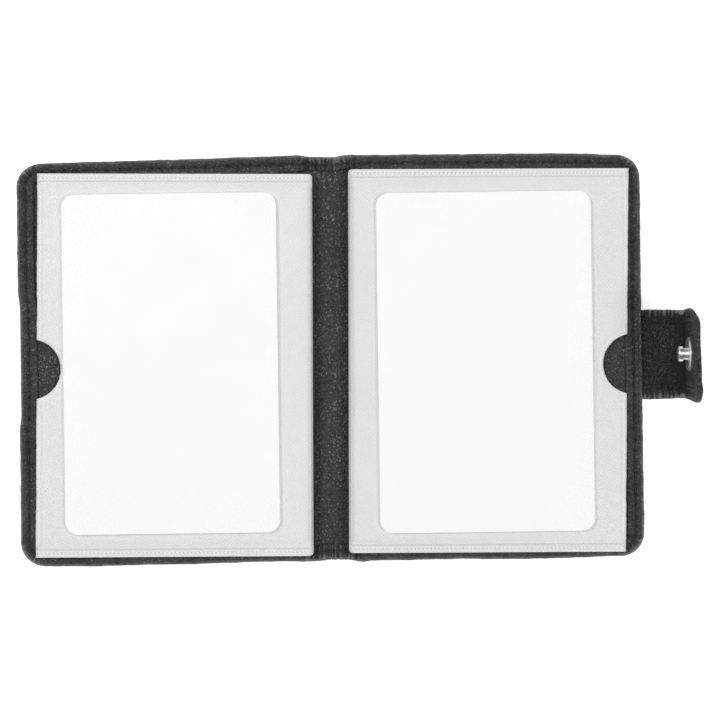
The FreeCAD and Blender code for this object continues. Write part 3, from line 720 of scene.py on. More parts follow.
def hemFolds(a, f):
    # the gathers over the spine, the pleats round the corners and the creases between: 1 on top, 0 in a fold
    far, rimmed = np.abs(f["x"]), onRim(f)
    seed = np.where(f["y"] > 0, 3.7, 11.3)
    split = 0.12 * wobble(f["inset"] * 2.1 + f["x"] * 0.7, 5.5, 33)       # each fold strays as it runs in
    return {
        "rimmed": rimmed,
        "gathered": (1 - smooth(far, 6.2, 8.4)) * (np.abs(f["outY"]) > 0.999),
        "gather": ridges(f["x"] + seed * 5.13 + split, a["gatherPitch"], 21, 0.5),
        "fan": f["arc"] * smooth(far, 60, 74),
        "pleat": ridges(f["along"] + split, a["pleatPitch"], 5, 0.4),
        "crease": ridges(f["along"] + 2.2 * split, 3.1, 17, 0.9),
        "onHem": (smooth(f["inset"], 0.05, 0.6) * (1 - smooth(f["inset"], 4.25, 4.5)) * (f["up"] > 0.6)
                  * rimmed),
    }


def onRim(f):
    return f["outX"] ** 2 + f["outY"] ** 2 > 0


def holeShape(a, f, across):
    gap = f["along"] - np.round(f["along"] / a["step"]) * a["step"]
    return bell(gap, 0, 0.42) * bell(f["inset"], a["stitchInset"], across) * onRim(f)


def albumForm(a, f):
    # from flat places to places on the album
    x, y, inset, up = f["x"], f["y"], f["inset"], f["up"]
    far = np.abs(x)
    h = hemFolds(a, f)
    folded = 1 - smooth(far, *a["gutter"])
    z = f["low"] + (f["fold"] - f["low"]) * folded
    atThread = 1 - 0.45 * bell(inset, 2.2, 0.35)
    z = z - a["gatherDepth"] * (1 - h["gather"]) * h["gathered"] * h["onHem"] * atThread
    nearRim = h["gathered"] * (1 - smooth(inset, 0.5, 3.2)) * smooth(up, -0.2, 0.4)
    y = y - np.sign(y) * a["gatherDraw"] * (1 - h["gather"]) * nearRim
    runIn = 0.4 + 0.6 * smooth(inset, 0.6, 2.5)
    z = z - a["pleatDepth"] * (1 - h["pleat"]) * h["fan"] * h["onHem"] * runIn
    plainHem = h["onHem"] * (1 - h["gathered"])
    z = z - 0.1 * (1 - h["crease"]) * plainHem - 0.05 * (1 + wobble(f["along"], 13, 8)) * plainHem
    hole = holeShape(a, f, 0.36)
    z = z - a["holeDepth"] * hole * (up > 0.6) + 0.1 * hole * (up < 0.02)
    # the hide between the gutters is a little round
    plain = ~h["rimmed"] & (up > 0.5)
    z = z + a["crown"] * (1 - smooth(far, 0.5, 4.6)) * plain * smooth(inset, 4.5, 9)
    z = z + 0.05 * wobble(x * 0.6 + y * 0.8, 9, 31) * plain * folded * smooth(inset, 4.5, 6)
    # the hem is drawn narrower over the spine
    zone = (1 - smooth(far, 5.0, 8.4)) * np.where(h["rimmed"], np.abs(f["outY"]) > 0.999, 1) * (up > 0.5)
    drawn = np.where(y > 0, a["hemDrawnHead"], a["hemDrawnFoot"]) * zone
    y = y + np.sign(y) * drawn * smooth(inset, 2.6, 4.4) * (1 - smooth(inset, 4.6, 9))
    # the corners are drawn on to a rounder arc
    cornerX, cornerY = far - a["halfWidth"] + a["rounding"], np.abs(y) - a["halfLength"] + a["rounding"]
    inside = (cornerX > 0) & (cornerY > 0) & (inset < a["rounding"])
    pull = np.where(inside, (a["rounding"] - inset) / np.maximum(np.hypot(cornerX, cornerY), 1e-6), 1)
    x = np.where(inside, np.sign(x) * (far + cornerX * (pull - 1)), x)
    y = np.where(inside, np.sign(y) * (np.abs(y) + cornerY * (pull - 1)), y)
    # the outline wanders along its swells
    swell = np.where(y > 0, easeLine(x, a["headLine"]), easeLine(x, a["footLine"]))
    swell = swell * smooth(np.abs(y), 36, 45)
    strapped = (x < -60) * (1 - smooth(np.abs(y), 12.8, 18))
    sideways = (0.05 * wobble(f["along"], 37, 4) + 0.05 * wobble(f["along"], 9, 14)) * (1 - 0.9 * strapped)
    y = y + np.sign(y) * swell + f["outY"] * sideways
    outward = np.where(x > 0, a["backOut"], a["frontOut"] - a["strapDent"] * strapped) * smooth(far, 66, 74)
    x = x + np.sign(x) * outward + f["outX"] * sideways
    return np.stack([x, y, z], axis=1)


def albumWearAndHighlight(a, f):
    # rubbed wear on the rolled edge where hands and pockets rub it; the tops of the gathers and pleats are
    # rubbed and also carry a painted highlight, and the crowns of the hem carry a painted highlight
    h = hemFolds(a, f)
    rolled = bell(f["inset"], 0.35, 0.55) * (f["up"] > 0.3)
    foldTopRubAndHighlight = h["gather"] ** 6 * h["gathered"] * 0.62 + h["pleat"] ** 6 * h["fan"] * 0.6
    # painted highlights along the two crowns of the hem
    lips = 0.2 * (bell(f["inset"], 3.3, 0.7) + bell(f["inset"], 1.2, 0.5)) * (f["up"] > 0.6)
    return np.clip(0.8 * rolled + foldTopRubAndHighlight * (f["up"] > 0.6) + lips, 0, 1.3)


def albumHollowShade(a, f):
    # painted shade in the folds, the stitch holes, the stitch line, the foot of the hem and the gutters
    # beside the spine
    h = hemFolds(a, f)
    hole = holeShape(a, f, 0.5)
    uneven = 0.6 + 0.4 * wobble(f["along"], 5, 9)
    groove = 0.55 * bell(f["inset"], a["stitchInset"], 0.26) * h["rimmed"] * uneven
    foot = 0.9 * bell(f["inset"], 4.5, 0.16) * h["rimmed"] * (f["up"] > 0.6)
    folds = 1.3 * (1 - h["gather"]) ** 2.4 * h["gathered"] + 1.1 * (1 - h["pleat"]) ** 2.2 * h["fan"]
    folds = folds + 0.45 * (1 - h["crease"]) ** 2 * bell(f["inset"], 2.6, 1.1)
    gutter = 0.3 * bell(np.abs(f["x"]), 4.6, 1.3) * (~h["rimmed"]) * (f["up"] > 0.6)
    return np.clip(hole + groove + foot + gutter + folds * h["onHem"], 0, 1)


def buildAlbum(a):
    r = a["corner"]
    ex, ey, sx, hole = a["halfWidth"] - r, a["halfLength"] - r, a["socketX"], a["socketHole"]
    cols = steps((-ex, sx - hole, 0.2), (sx - hole, sx + hole, 0.55), (sx + hole, -10, 0.8), (-10, 0, 0.25),
                 (0, 10, 0.25), (10, ex, 0.62))
    rows = steps((-ey, -hole, 0.7), (-hole, hole, 0.55), (hole, ey, 0.7))
    profile = albumProfile(a)
    panel = flatPanel(cols, rows, r, profile, 12, a["stitchInset"])
    line = panel["line"]
    a["step"] = line["length"] / round(line["length"] / a["pitch"])
    flat = panel["flat"]
    # a round hole for the snap's socket: the lattice square round it is drawn into a circle
    dx, dy = flat["x"] - sx, flat["y"]
    square = np.maximum(np.abs(dx), np.abs(dy))
    bare = (flat["outX"] == 0) & (flat["outY"] == 0) & (flat["up"] < 0.5)
    ring = bare & (np.abs(square - hole) < 0.001)
    shrink = np.where(ring, square / np.maximum(np.hypot(dx, dy), 1e-9), 1)
    flat["x"] = np.where(ring, sx + dx * shrink, flat["x"])
    flat["y"] = np.where(ring, dy * shrink, flat["y"])
    cut = bare & (square < hole - 0.001)
    points = albumForm(a, flat)
    marks = {"pattern": np.stack([flat["x"], flat["y"], points[:, 2]], axis=1), "edge": albumWearAndHighlight(a, flat),
             "hollowShade": albumHollowShade(a, flat)}
    under = [f for f in panel["under"] if not any(cut[i] for i in f)]
    under = [f for f in under if not all(ring[i] or cut[i] for i in f)]
    skin = sum(panel["bands"], under)
    # the wall of that hole
    around = np.nonzero(ring)[0]
    around = around[np.argsort(np.arctan2(flat["y"][around], flat["x"][around] - sx))]
    first = len(points)
    wall = np.concatenate([points[around], points[around] + np.array([0, 0, a["socketDepth"]])])
    points = np.concatenate([points, wall])
    marks["pattern"] = np.concatenate([marks["pattern"], wall])
    marks["edge"] = np.concatenate([marks["edge"], np.zeros(len(wall))])
    # painted shade down the wall of the socket hole
    marks["hollowShade"] = np.concatenate([marks["hollowShade"], np.full(len(wall), 0.6)])
    flatX = np.concatenate([flat["x"], wall[:, 0]])
    n = len(around)
    skin += [(first + i, first + n + i, first + n + (i + 1) % n, first + (i + 1) % n) for i in range(n)]
    made = {}
    for side, name in ((1, "back"), (-1, "front")):
        for what, faces, mat in (("skin", skin, outerLeather), ("lining", panel["over"], liningLeather)):
            mine = [f for f in faces if side * sum(flatX[i] for i in f) > 0]
            label = {"skin": f"{name}_hide", "lining": f"{name}_inner_hide"}[what]
            made[name, what] = makePiece(label, points, mine, marks, mat)
    return made, line


def albumThreadForm(a, line):
    def form(along, lift, up):
        at = onLine(line, along % line["length"])
        n = len(along)
        hem, spine = (a["hemTop"] - 0.24, a["spineHem"] - 0.19) if up else (0.2, 0.2)
        flat = {"x": at["x"], "y": at["y"], "outX": at["outX"], "outY": at["outY"], "arc": at["arc"],
                "along": along, "inset": np.full(n, a["stitchInset"]), "low": np.full(n, hem),
                "fold": np.full(n, spine), "up": np.full(n, 1.0 if up else 0.0)}
        place = albumForm(a, flat)
        place[:, 2] += lift if up else -lift
        return place
    return form


def foldWith(obj, side):
    # both halves only get their transforms baked in, the same way on either side
    if side == "back":
        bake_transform(obj)
    else:
        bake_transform(obj)


albumMade, albumLine = buildAlbum(album)
for side in ("back", "front"):
    skinPiece, liningPiece = albumMade[side, "skin"], albumMade[side, "lining"]
    foldWith(skinPiece, side)
    foldWith(liningPiece, side)
    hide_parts(f"{side}_cover_leather", "spine_leather")
    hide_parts(f"{side}_lining", "spine_lining")
print("album skin and lining:", len(skinPiece.data.vertices), "points a side")

albumStitch = {"thread": 0.36, "stitch": 1.95, "dip": 0.42, "rise": 0.13}
albumForming = albumThreadForm(album, albumLine)
stitchPlaces = (np.arange(round(albumLine["length"] / album["step"])) + 0.5) * album["step"]
stitchX = onLine(albumLine, stitchPlaces)["x"]
for side in ("back", "front"):
    mine = stitchPlaces[stitchX >= 0] if side == "back" else stitchPlaces[stitchX < 0]
    stitched = stitchBothFaces(f"{side}_stitches", mine, albumForming, albumStitch)
    foldWith(stitched, side)
    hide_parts(f"{side}_cover_stitching", "spine_stitching")
print("album stitches:", len(stitchPlaces))

# the strap: flat first, then carried along its line, which leaves the cover, turns up and stands
strap = {
    "start": 77.7, "cut": 83.0, "bendX": 87.48, "foot": 0.9, "thick": 1.4,
    "bendRadius": 2.2,        # to the middle of the strap
    "halfWidth": cadHigh("strap_root_leather")[1],
    "top": cadHigh("strap_tip_leather")[2],
    "corner": 5.0, "hem": 3.6, "stitchInset": 2.5, "pitch": 2.75, "holeDepth": 0.14,
    "drift": 0.75, "flare": 0.35,
    # how far its outer and inner faces stand outwards, from the foot side to the head side
    "outerLine": ((-11.6, 0.7), (-9, 0.5), (-5.5, 0), (5.5, 0), (8.5, 0.05), (11.6, -0.8)),
    "innerLine": ((-11.6, 0.55), (-5.6, 0), (5.6, 0), (11.6, -0.4)),
    "outerEnd": ((-11.6, 0.05), (-8, 0.3), (-4, 0.36), (4, 0.12), (7.5, 0.15), (11.6, 0)),
    "innerEnd": ((-11.6, 0.3), (-7, 0.2), (0, -0.3), (7, -0.4), (11.6, -0.1)),
    "gatherDepth": 0.36, "gatherPitch": 1.18,
}


def strapProfile(s):
    return [(s["corner"], 0, 0, 0), (3.4, 0, 0, 0), (2.7, 0, 0, 0), (2.5, 0.12, 0.12, 0), (2.3, 0, 0, 0),
            (1.2, 0, 0, 0), (0.6, 0, 0, 0), (0.32, 0.06, 0.06, 0.1), (0.12, 0.2, 0.2, 0.2),
            (0.02, 0.42, 0.42, 0.4), (0, 0.66, 0.66, 0.5), (0.02, 0.92, 0.92, 0.6), (0.1, 1.13, 1.13, 0.8),
            (0.26, 1.3, 1.3, 1), (0.5, 1.39, 1.39, 1), (0.85, 1.42, 1.42, 1), (1.25, 1.42, 1.42, 1),
            (1.7, 1.40, 1.40, 1), (2.05, 1.34, 1.34, 1), (2.3, 1.25, 1.25, 1), (2.5, 1.2, 1.2, 1),
            (2.7, 1.26, 1.26, 1), (2.95, 1.35, 1.35, 1), (3.2, 1.38, 1.38, 1), (3.42, 1.35, 1.35, 1),
            (3.54, 1.28, 1.28, 1), (3.6, 1.22, 1.22, 1), (3.7, 1.24, 1.24, 1), (4.0, 1.32, 1.32, 1),
            (4.5, 1.35, 1.35, 1), (s["corner"], 1.35, 1.35, 1)]


def strapFold(s, f):
    stray = 0.12 * wobble(f["inset"] * 2.3 + f["x"] * 0.6, 5.5, 43)
    return ridges(f["x"] + np.where(f["y"] > 0, 0, 31) + stray, s["gatherPitch"], 9, 0.35)


def strapHollowShade(s, f):
    # painted shade in the hem folds, along the stitch line and the hem's edge, in the stitch holes and across
    # the bend
    rimmed = onRim(f)
    onHem = smooth(f["inset"], 0.3, 0.8) * (1 - smooth(f["inset"], 3.3, 3.7)) * (f["up"] > 0.9) * rimmed
    folds = 1.2 * (1 - strapFold(s, f)) ** 2 * onHem * (0.4 + 0.6 * (1 - smooth(f["x"], 90, 96)))
    line = bell(f["inset"], s["stitchInset"], 0.22) + bell(f["inset"], 3.62, 0.14) * (f["up"] > 0.9)
    bend = 0.75 * bell(f["x"], 89.4, 2.6) * (f["up"] > 0.9) * (1 - smooth(np.abs(f["y"]), 7, 10.5))
    return np.clip(folds + (0.7 * line + holeShape(s, f, 0.4)) * rimmed + bend, 0, 1)


def strapForm(s, f):
    u, v, w = f["x"], f["y"], f["low"]
    inset, up = f["inset"], f["up"]
    rimmed = onRim(f)
    onHem = smooth(inset, 0.1, 0.6) * (1 - smooth(inset, 3.3, 3.6)) * (up > 0.9) * rimmed
    sides = np.abs(f["outY"]) > 0.999
    fold = strapFold(s, f)
    deep = s["gatherDepth"] * (0.35 + 0.65 * (1 - smooth(u, 90, 96))) * np.where(sides, 1, 0.25)
    w = w - deep * (1 - fold) * onHem * (1 - 0.5 * bell(inset, s["stitchInset"], 0.3))
    hole = holeShape(s, f, 0.34)
    w = w - s["holeDepth"] * hole * (up > 0.9) + 0.08 * hole * (up < 0.02)
    # the bend squeezes the inner face into a few cross folds
    bendStart, bendEnd = s["bendX"], s["bendX"] + s["bendRadius"] * math.pi / 2
    cross = ridges(u + 0.25 * wobble(v, 9, 3), 0.95, 13, 0.2)
    inBend = smooth(u, bendStart - 0.8, bendStart + 0.6) * (1 - smooth(u, bendEnd - 0.4, bendEnd + 1.5))
    w = w - 0.1 * (1 - cross) * inBend * (up > 0.9)
    v = v + f["outY"] * 0.08 * wobble(u, 17, 6) * rimmed
    # along the line
    turn = np.clip((u - bendStart) / s["bendRadius"], 0, math.pi / 2)
    rise = np.clip(u - bendEnd, 0, None)
    radius = s["bendRadius"] + s["thick"] / 2 - w
    middleZ = s["foot"] + s["thick"] / 2 + s["bendRadius"]
    x = np.where(u < bendStart, u, bendStart + radius * np.sin(turn))
    z = np.where(u < bendStart, s["foot"] + w, middleZ - radius * np.cos(turn) + rise)
    tall = s["top"] - middleZ
    spread = smooth(rise, 0.5, 9) * (1 - smooth(rise, 12, 18))
    # the tip is not flat: it swells on the foot side, and its free end is thick enough to hide the snap's cap
    side, free = smooth(rise, 0.5, 8), smooth(rise, 12.5, tall)
    inward = np.clip(w / s["thick"], 0, 1)
    x = x + (easeLine(v, s["outerLine"]) * side + easeLine(v, s["outerEnd"]) * free) * (1 - inward)
    x = x + (easeLine(v, s["innerLine"]) * side + easeLine(v, s["innerEnd"]) * free) * inward
    v = v * (1 + s["flare"] / s["halfWidth"] * spread) - s["drift"] * (rise / tall) ** 1.3
    return np.stack([x, v, z], axis=1)


def strapWearAndHighlight(s, f):
    # rubbed wear on the rolled edge; painted highlights on the hem crowns, and rubbed and painted highlights
    # on the fold tops
    rolled = bell(f["inset"], 0.2, 0.5) * (f["up"] > 0.15) * (0.55 + 0.45 * smooth(f["x"], 84, 92))
    lips = 0.3 * bell(f["inset"], 1.1, 0.5) * (f["up"] > 0.9)
    foldTopRubAndHighlight = 0.5 * strapFold(s, f) ** 5 * (f["inset"] < 3.4) * (f["up"] > 0.9) * (1 - smooth(f["x"], 86, 92))
    # painted glare on the hem corners at the bend
    rubAndGlare = 1.2 * bell(f["x"], 90.4, 1.7) * smooth(np.abs(f["y"]), 9.4, 11.2) * (f["up"] > 0.5)
    away = 1 - 0.65 * smooth(f["x"], 92, 95)
    return np.clip((rolled + lips) * away + foldTopRubAndHighlight + 1.8 * rubAndGlare, 0, 2.2)


def buildStrap(s):
    r = s["corner"]
    end = s["bendX"] + s["bendRadius"] * math.pi / 2 + s["top"] - (
        s["foot"] + s["thick"] / 2 + s["bendRadius"]) - r
    cols = steps((s["start"], s["cut"], 0.22), (s["cut"], 93, 0.22), (93, end, 0.35))
    rows = steps((-(s["halfWidth"] - r), s["halfWidth"] - r, 0.5))
    panel = flatPanel(cols, rows, r, strapProfile(s), 12, s["stitchInset"], openEnd=True)
    line = panel["line"]
    s["step"] = s["pitch"]
    flat = panel["flat"]
    points = strapForm(s, flat)
    marks = {"pattern": np.stack([flat["x"] + 200, flat["y"], flat["low"]], axis=1),
             "edge": strapWearAndHighlight(s, flat), "hollowShade": strapHollowShade(s, flat)}
    split = max(k for k, row in enumerate(strapProfile(s)) if abs(row[0] - s["hem"]) < 0.01)
    skin = sum(panel["bands"][:split], list(panel["under"]))
    inner = sum(panel["bands"][split:], list(panel["over"]))
    made = {}
    for part, keep in (("root", lambda u: u < s["cut"]), ("tip", lambda u: u > s["cut"])):
        for what, faces in (("skin", skin), ("lining", inner)):
            mine = [f for f in faces if keep(sum(flat["x"][i] for i in f) / len(f))]
            label = {"skin": f"strap_{part}_hide", "lining": f"strap_{part}_inner_hide"}[what]
            made[part, what] = makePiece(label, points, mine, marks, shadedStrapLeather)
    return made, line


def strapThreadForm(s, line):
    def form(along, lift, up):
        at = onLine(line, along)
        n = len(along)
        flat = {"x": at["x"], "y": at["y"], "outX": at["outX"], "outY": at["outY"], "arc": at["arc"],
                "along": along, "inset": np.full(n, s["stitchInset"]),
                "low": (1.2 + lift) if up else (0.12 - lift), "up": np.full(n, 1.0 if up else 0.0)}
        return strapForm(s, flat)
    return form


def bendStrap(obj, part):
    # both parts only get their transforms baked in, the same way for root and tip
    if part == "root":
        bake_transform(obj)
    else:
        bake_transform(obj)


strapMade, strapLine = buildStrap(strap)
for (part, what), piece in strapMade.items():
    bendStrap(piece, part)
    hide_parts(f"strap_{part}_leather" if what == "skin" else f"strap_{part}_lining")
strapStitch = {"thread": 0.3, "stitch": 1.9, "dip": 0.32, "rise": 0.06, "first": 79.4}
strapForming = strapThreadForm(strap, strapLine)
strapPlaces = np.arange(1, int(strapLine["length"] / strap["step"])) * strap["step"] + strap["step"] / 2
strapU = onLine(strapLine, strapPlaces)["x"]
clear = strapU > strapStitch["first"]
strapPlaces, strapU = strapPlaces[clear], strapU[clear]
for part in ("root", "tip"):
    mine = strapPlaces[strapU < strap["cut"]] if part == "root" else strapPlaces[strapU >= strap["cut"]]
    stitched = stitchBothFaces(f"strap_{part}_stitches", mine, strapForming, strapStitch)
    bendStrap(stitched, part)
    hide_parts(f"strap_{part}_stitching")


def fibreBoard(name, tint, scale, onPattern):
    mat, tree, shader = newMaterial(name)
    place = flatPlace(tree) if onPattern else solidPlace(tree)
    pulp = useGroup(tree, fibre, (-500, 0), Vector=place, Scale=scale)
    hands = useGroup(tree, handling, (-500, -250), Vector=place, Size=9.0)
    base = colourMix(tree, (0, 200), remap(tree, (-200, 200), pulp["Height"], 0.3, 0.7),
                     tuple(c * 0.78 for c in tint), tint)
    tree.links.new(colourMix(tree, (250, 200), sums(tree, "MULTIPLY", (50, -50), hands["Smudge"], 0.3), base,
                             tuple(c * 0.7 for c in tint)), shader.inputs["Base Color"])
    rough = sums(tree, "MULTIPLY_ADD", (250, -200), pulp["Tone"], 0.2, 0.7)
    tree.links.new(rough, shader.inputs["Roughness"])
    tree.links.new(bump(tree, (500, -300), pulp["Height"], 0.00006), shader.inputs["Normal"])
    return mat


core = {"start": 78.6, "end": 107.9, "under": 0.65, "over": 0.95, "narrower": 0.6,
        "taperStart": 104, "taperEnd": 108.6, "taper": 0.42}


def buildCore(s, c):
    # the stiffener inside the strap, carried along the same line as the leather
    half = s["halfWidth"] - c["narrower"]
    for part, u0, u1 in (("root", c["start"], s["cut"]), ("tip", s["cut"], c["end"])):
        us, vs = steps((u0, u1, 0.35)), steps((-half, half, 1.1))
        gu, gv = np.meshgrid(us, vs, indexing="ij")
        tapered = 1 - c["taper"] * smooth(gu, c["taperStart"], c["taperEnd"])
        narrow = np.where(gu > c["taperStart"], tapered, 1)
        points = []
        for w in (c["under"], c["over"]):
            n = gu.size
            flat = {"x": gu.ravel(), "y": (gv * narrow).ravel(), "low": np.full(n, w),
                    "up": np.full(n, 0.5), "inset": np.full(n, s["corner"]), "outX": np.zeros(n),
                    "outY": np.zeros(n), "along": np.zeros(n)}
            points.append(strapForm(s, flat))
        points = np.concatenate(points)
        nu, nv = gu.shape
        faces = gridFaces(nu, nv)
        rim = gridRim(nu, nv)
        for i, a in enumerate(rim):
            b = rim[(i + 1) % len(rim)]
            faces.append((a, b, b + nu * nv, a + nu * nv))
        flatU, flatV = np.tile(gu.ravel(), 2), np.tile(gv.ravel(), 2)
        marks = {"pattern": np.stack([flatU, flatV, points[:, 2]], axis=1)}
        piece = makePiece(f"strap_{part}_stiffener", points, faces, marks, coreBoard)
        bendStrap(piece, part)
        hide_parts(f"strap_{part}_core")


coreBoard = fibreBoard("strap stiffener", (0.16, 0.14, 0.12), 2.6, True)
buildCore(strap, core)
print("strap ready:", len(strapPlaces), "stitches a face")

# sleeves: a backing sheet and an embossed film, welded at head and foot and folded at the spine
sleeves = {
    "front": {"mirror": -1, "rise": -1.15, "lip": 0.45, "filmTwist": -0.785,
              # how far each corner sits from square: spine foot, fore foot, spine head, fore head
              "shift": ((0.6, 0.0), (0.85, 0.5), (-0.33, -0.75), (-0.85, 0.3))},
    "back": {"mirror": 1, "rise": -1.05, "lip": 1.15, "filmTwist": 0.785,
             "shift": ((-0.33, 0.5), (-1.0, -0.05), (0.72, 0.2), (0.9, -0.45))},
}
sleeveSize = {
    "inner": 4.35, "outer": 73.63, "half": 48.5, "weld": 1.8, "slope": 2.6, "film": 0.18,
    "low": 3.5, "pocket": 3.7, "filmUnder": 4.52, "corner": 1.0,
    "notchRadius": 7.6, "notchDepth": 6.1, "notchRise": -0.95, "filmNotchGrow": 0.42,
    "filmShort": 0.28,        # the film ends this far inside its backing
    "standOff": 0.012, "slack": 0.05, "sheetGap": 0.002,      # the film over the card, and over its backing
    "tapeGap": 0.004, "backingGap": 0.012,
}


def sleeveRows(rise, notchY, radius, reach):
    half = sleeveSize["half"]
    angle = math.asin(reach / radius)
    arc = [notchY + radius * math.sin(t) for t in np.linspace(-angle, angle, 61)]
    ends = (0, 0.04, 0.12, 0.25, 0.42, 0.62, 0.85, 1.0, 1.2, 1.4, 1.6, 1.8, 2.0, 2.2, 2.5, 3.0, 3.5, 4.0,
            4.4, 4.8)
    rows = [rise - half + e for e in ends] + [rise + half - e for e in ends] + arc
    rows += list(np.arange(rise - half + 5.6, notchY - reach - 0.4, 0.9))
    rows += list(np.arange(notchY + reach + 0.6, rise + half - 5.4, 0.9))
    return np.array(sorted(set(round(r, 4) for r in rows)))


def sleeveSheet(name, which, edge, radius, under, over, seed, material):
    # under and over give the heights of the sheet's two faces over flat places
    size, me = sleeveSize, sleeves[which]
    rise, half, inner, r = me["rise"], size["half"], size["inner"], size["corner"]
    notchY = rise + size["notchRise"]
    centre = size["outer"] + me["lip"] - size["notchDepth"] + size["notchRadius"]
    reach = math.sqrt(radius ** 2 - (centre - edge) ** 2)
    rows = sleeveRows(rise, notchY, radius, reach)
    cols = steps((0, 0.5, 0.1), (0.5, 1.6, 0.22), (1.6, 52, 1.1), (52, edge - inner, 0.62))
    toEnd = half - np.abs(rows - rise)
    near = np.clip(r - toEnd, 0, r)
    innerEdge = inner + r - np.sqrt(np.clip(r ** 2 - near ** 2, 0, None))
    off = np.abs(rows - notchY)
    bite = centre - np.sqrt(np.clip(radius ** 2 - off ** 2, 0, None))
    outerEdge = np.where(off < reach, np.minimum(bite, edge), edge)
    ragged = 0.05 * wobble(rows, 1.7, seed) + 0.06 * wobble(rows, 23, seed + 1)
    outerEdge = outerEdge + ragged * np.where(off < reach, 0.8, 1)
    t = cols / cols[-1]
    hold = smooth(t, 0.0, 0.10)[:, None]
    squeeze = smooth(t, 0.72, 1.0)[:, None]
    x = inner + cols[:, None] + (innerEdge - inner)[None, :] * (1 - hold)
    x = x + (outerEdge - edge)[None, :] * squeeze
    # the columns keep their order where the notch pushes them back
    y = np.broadcast_to(rows[None, :], x.shape)
    x = np.maximum.accumulate(x, axis=0)
    u = np.clip((x - inner) / (edge - inner), 0, 1)
    v = np.clip((y - rise + half) / (2 * half), 0, 1)
    a, b, c, d = me["shift"]
    moved = [a[k] * (1 - u) * (1 - v) + b[k] * u * (1 - v) + c[k] * (1 - u) * v + d[k] * u * v
             for k in (0, 1)]
    low, high = under(x, y), over(x, y)
    m, n = x.shape
    px, py = (x + moved[0]).ravel() * me["mirror"], (y + moved[1]).ravel()
    points = np.concatenate([np.stack([px, py, low.ravel()], 1), np.stack([px, py, high.ravel()], 1)])
    faces = gridFaces(m, n)
    rim = gridRim(m, n)
    # the rim has points of its own, so that its edges stay crisp
    first, count = len(points), len(rim)
    wall = np.concatenate([points[rim], points[[i + m * n for i in rim]]])
    for i in range(count):
        j = (i + 1) % count
        faces.append((first + i, first + j, first + count + j, first + count + i))
    if me["mirror"] < 0:
        faces = [f[::-1] for f in faces]
    points = np.concatenate([points, wall])
    fromEdge = (half - np.abs(y - rise)).ravel()
    fromFold = (x - innerEdge[None, :]).ravel()
    pattern = np.stack([(x * me["mirror"]).ravel(), y.ravel(), 0 * px], 1)
    pick = list(range(m * n)) * 2 + rim + rim
    fromMouth = (outerEdge[None, :] - x).ravel()
    marks = {"pattern": pattern[pick], "fromEdge": fromEdge[pick], "fromFold": fromFold[pick],
             "fromMouth": fromMouth[pick]}
    # edge marks at the rim and the mouth: painted shade in the backing's colour, more opacity in the film
    lips = bell((outerEdge[None, :] - x), 0, 0.12).ravel()
    marks["edge"] = np.concatenate([lips[list(range(m * n)) * 2], np.ones(2 * count)])
    return makePiece(name, points, faces, marks, material)


def filmHeights(which):
    size, rise = sleeveSize, sleeves[which]["rise"]
    seed = 40 if which == "front" else 60

    def under(x, y):
        toEnd = size["half"] - np.abs(y - rise)
        crown = smooth(toEnd, size["weld"], size["weld"] + size["slope"] + 0.3)
        fold = smooth(x - size["inner"], -0.1, 0.6)
        high = (size["filmUnder"] - size["pocket"]) * crown * fold
        # it stands off the card in places and never dips into it
        across = np.clip(1 + wobble(x + 0.3 * y, 41, seed), 0, None)
        along = np.clip(1 + wobble(y - 0.2 * x, 33, seed + 3), 0, None)
        loose = across * along
        lift = (size["standOff"] + size["slack"] * loose) * crown * fold
        return size["pocket"] + high + lift + size["sheetGap"]

    return under, lambda x, y: under(x, y) + size["film"]


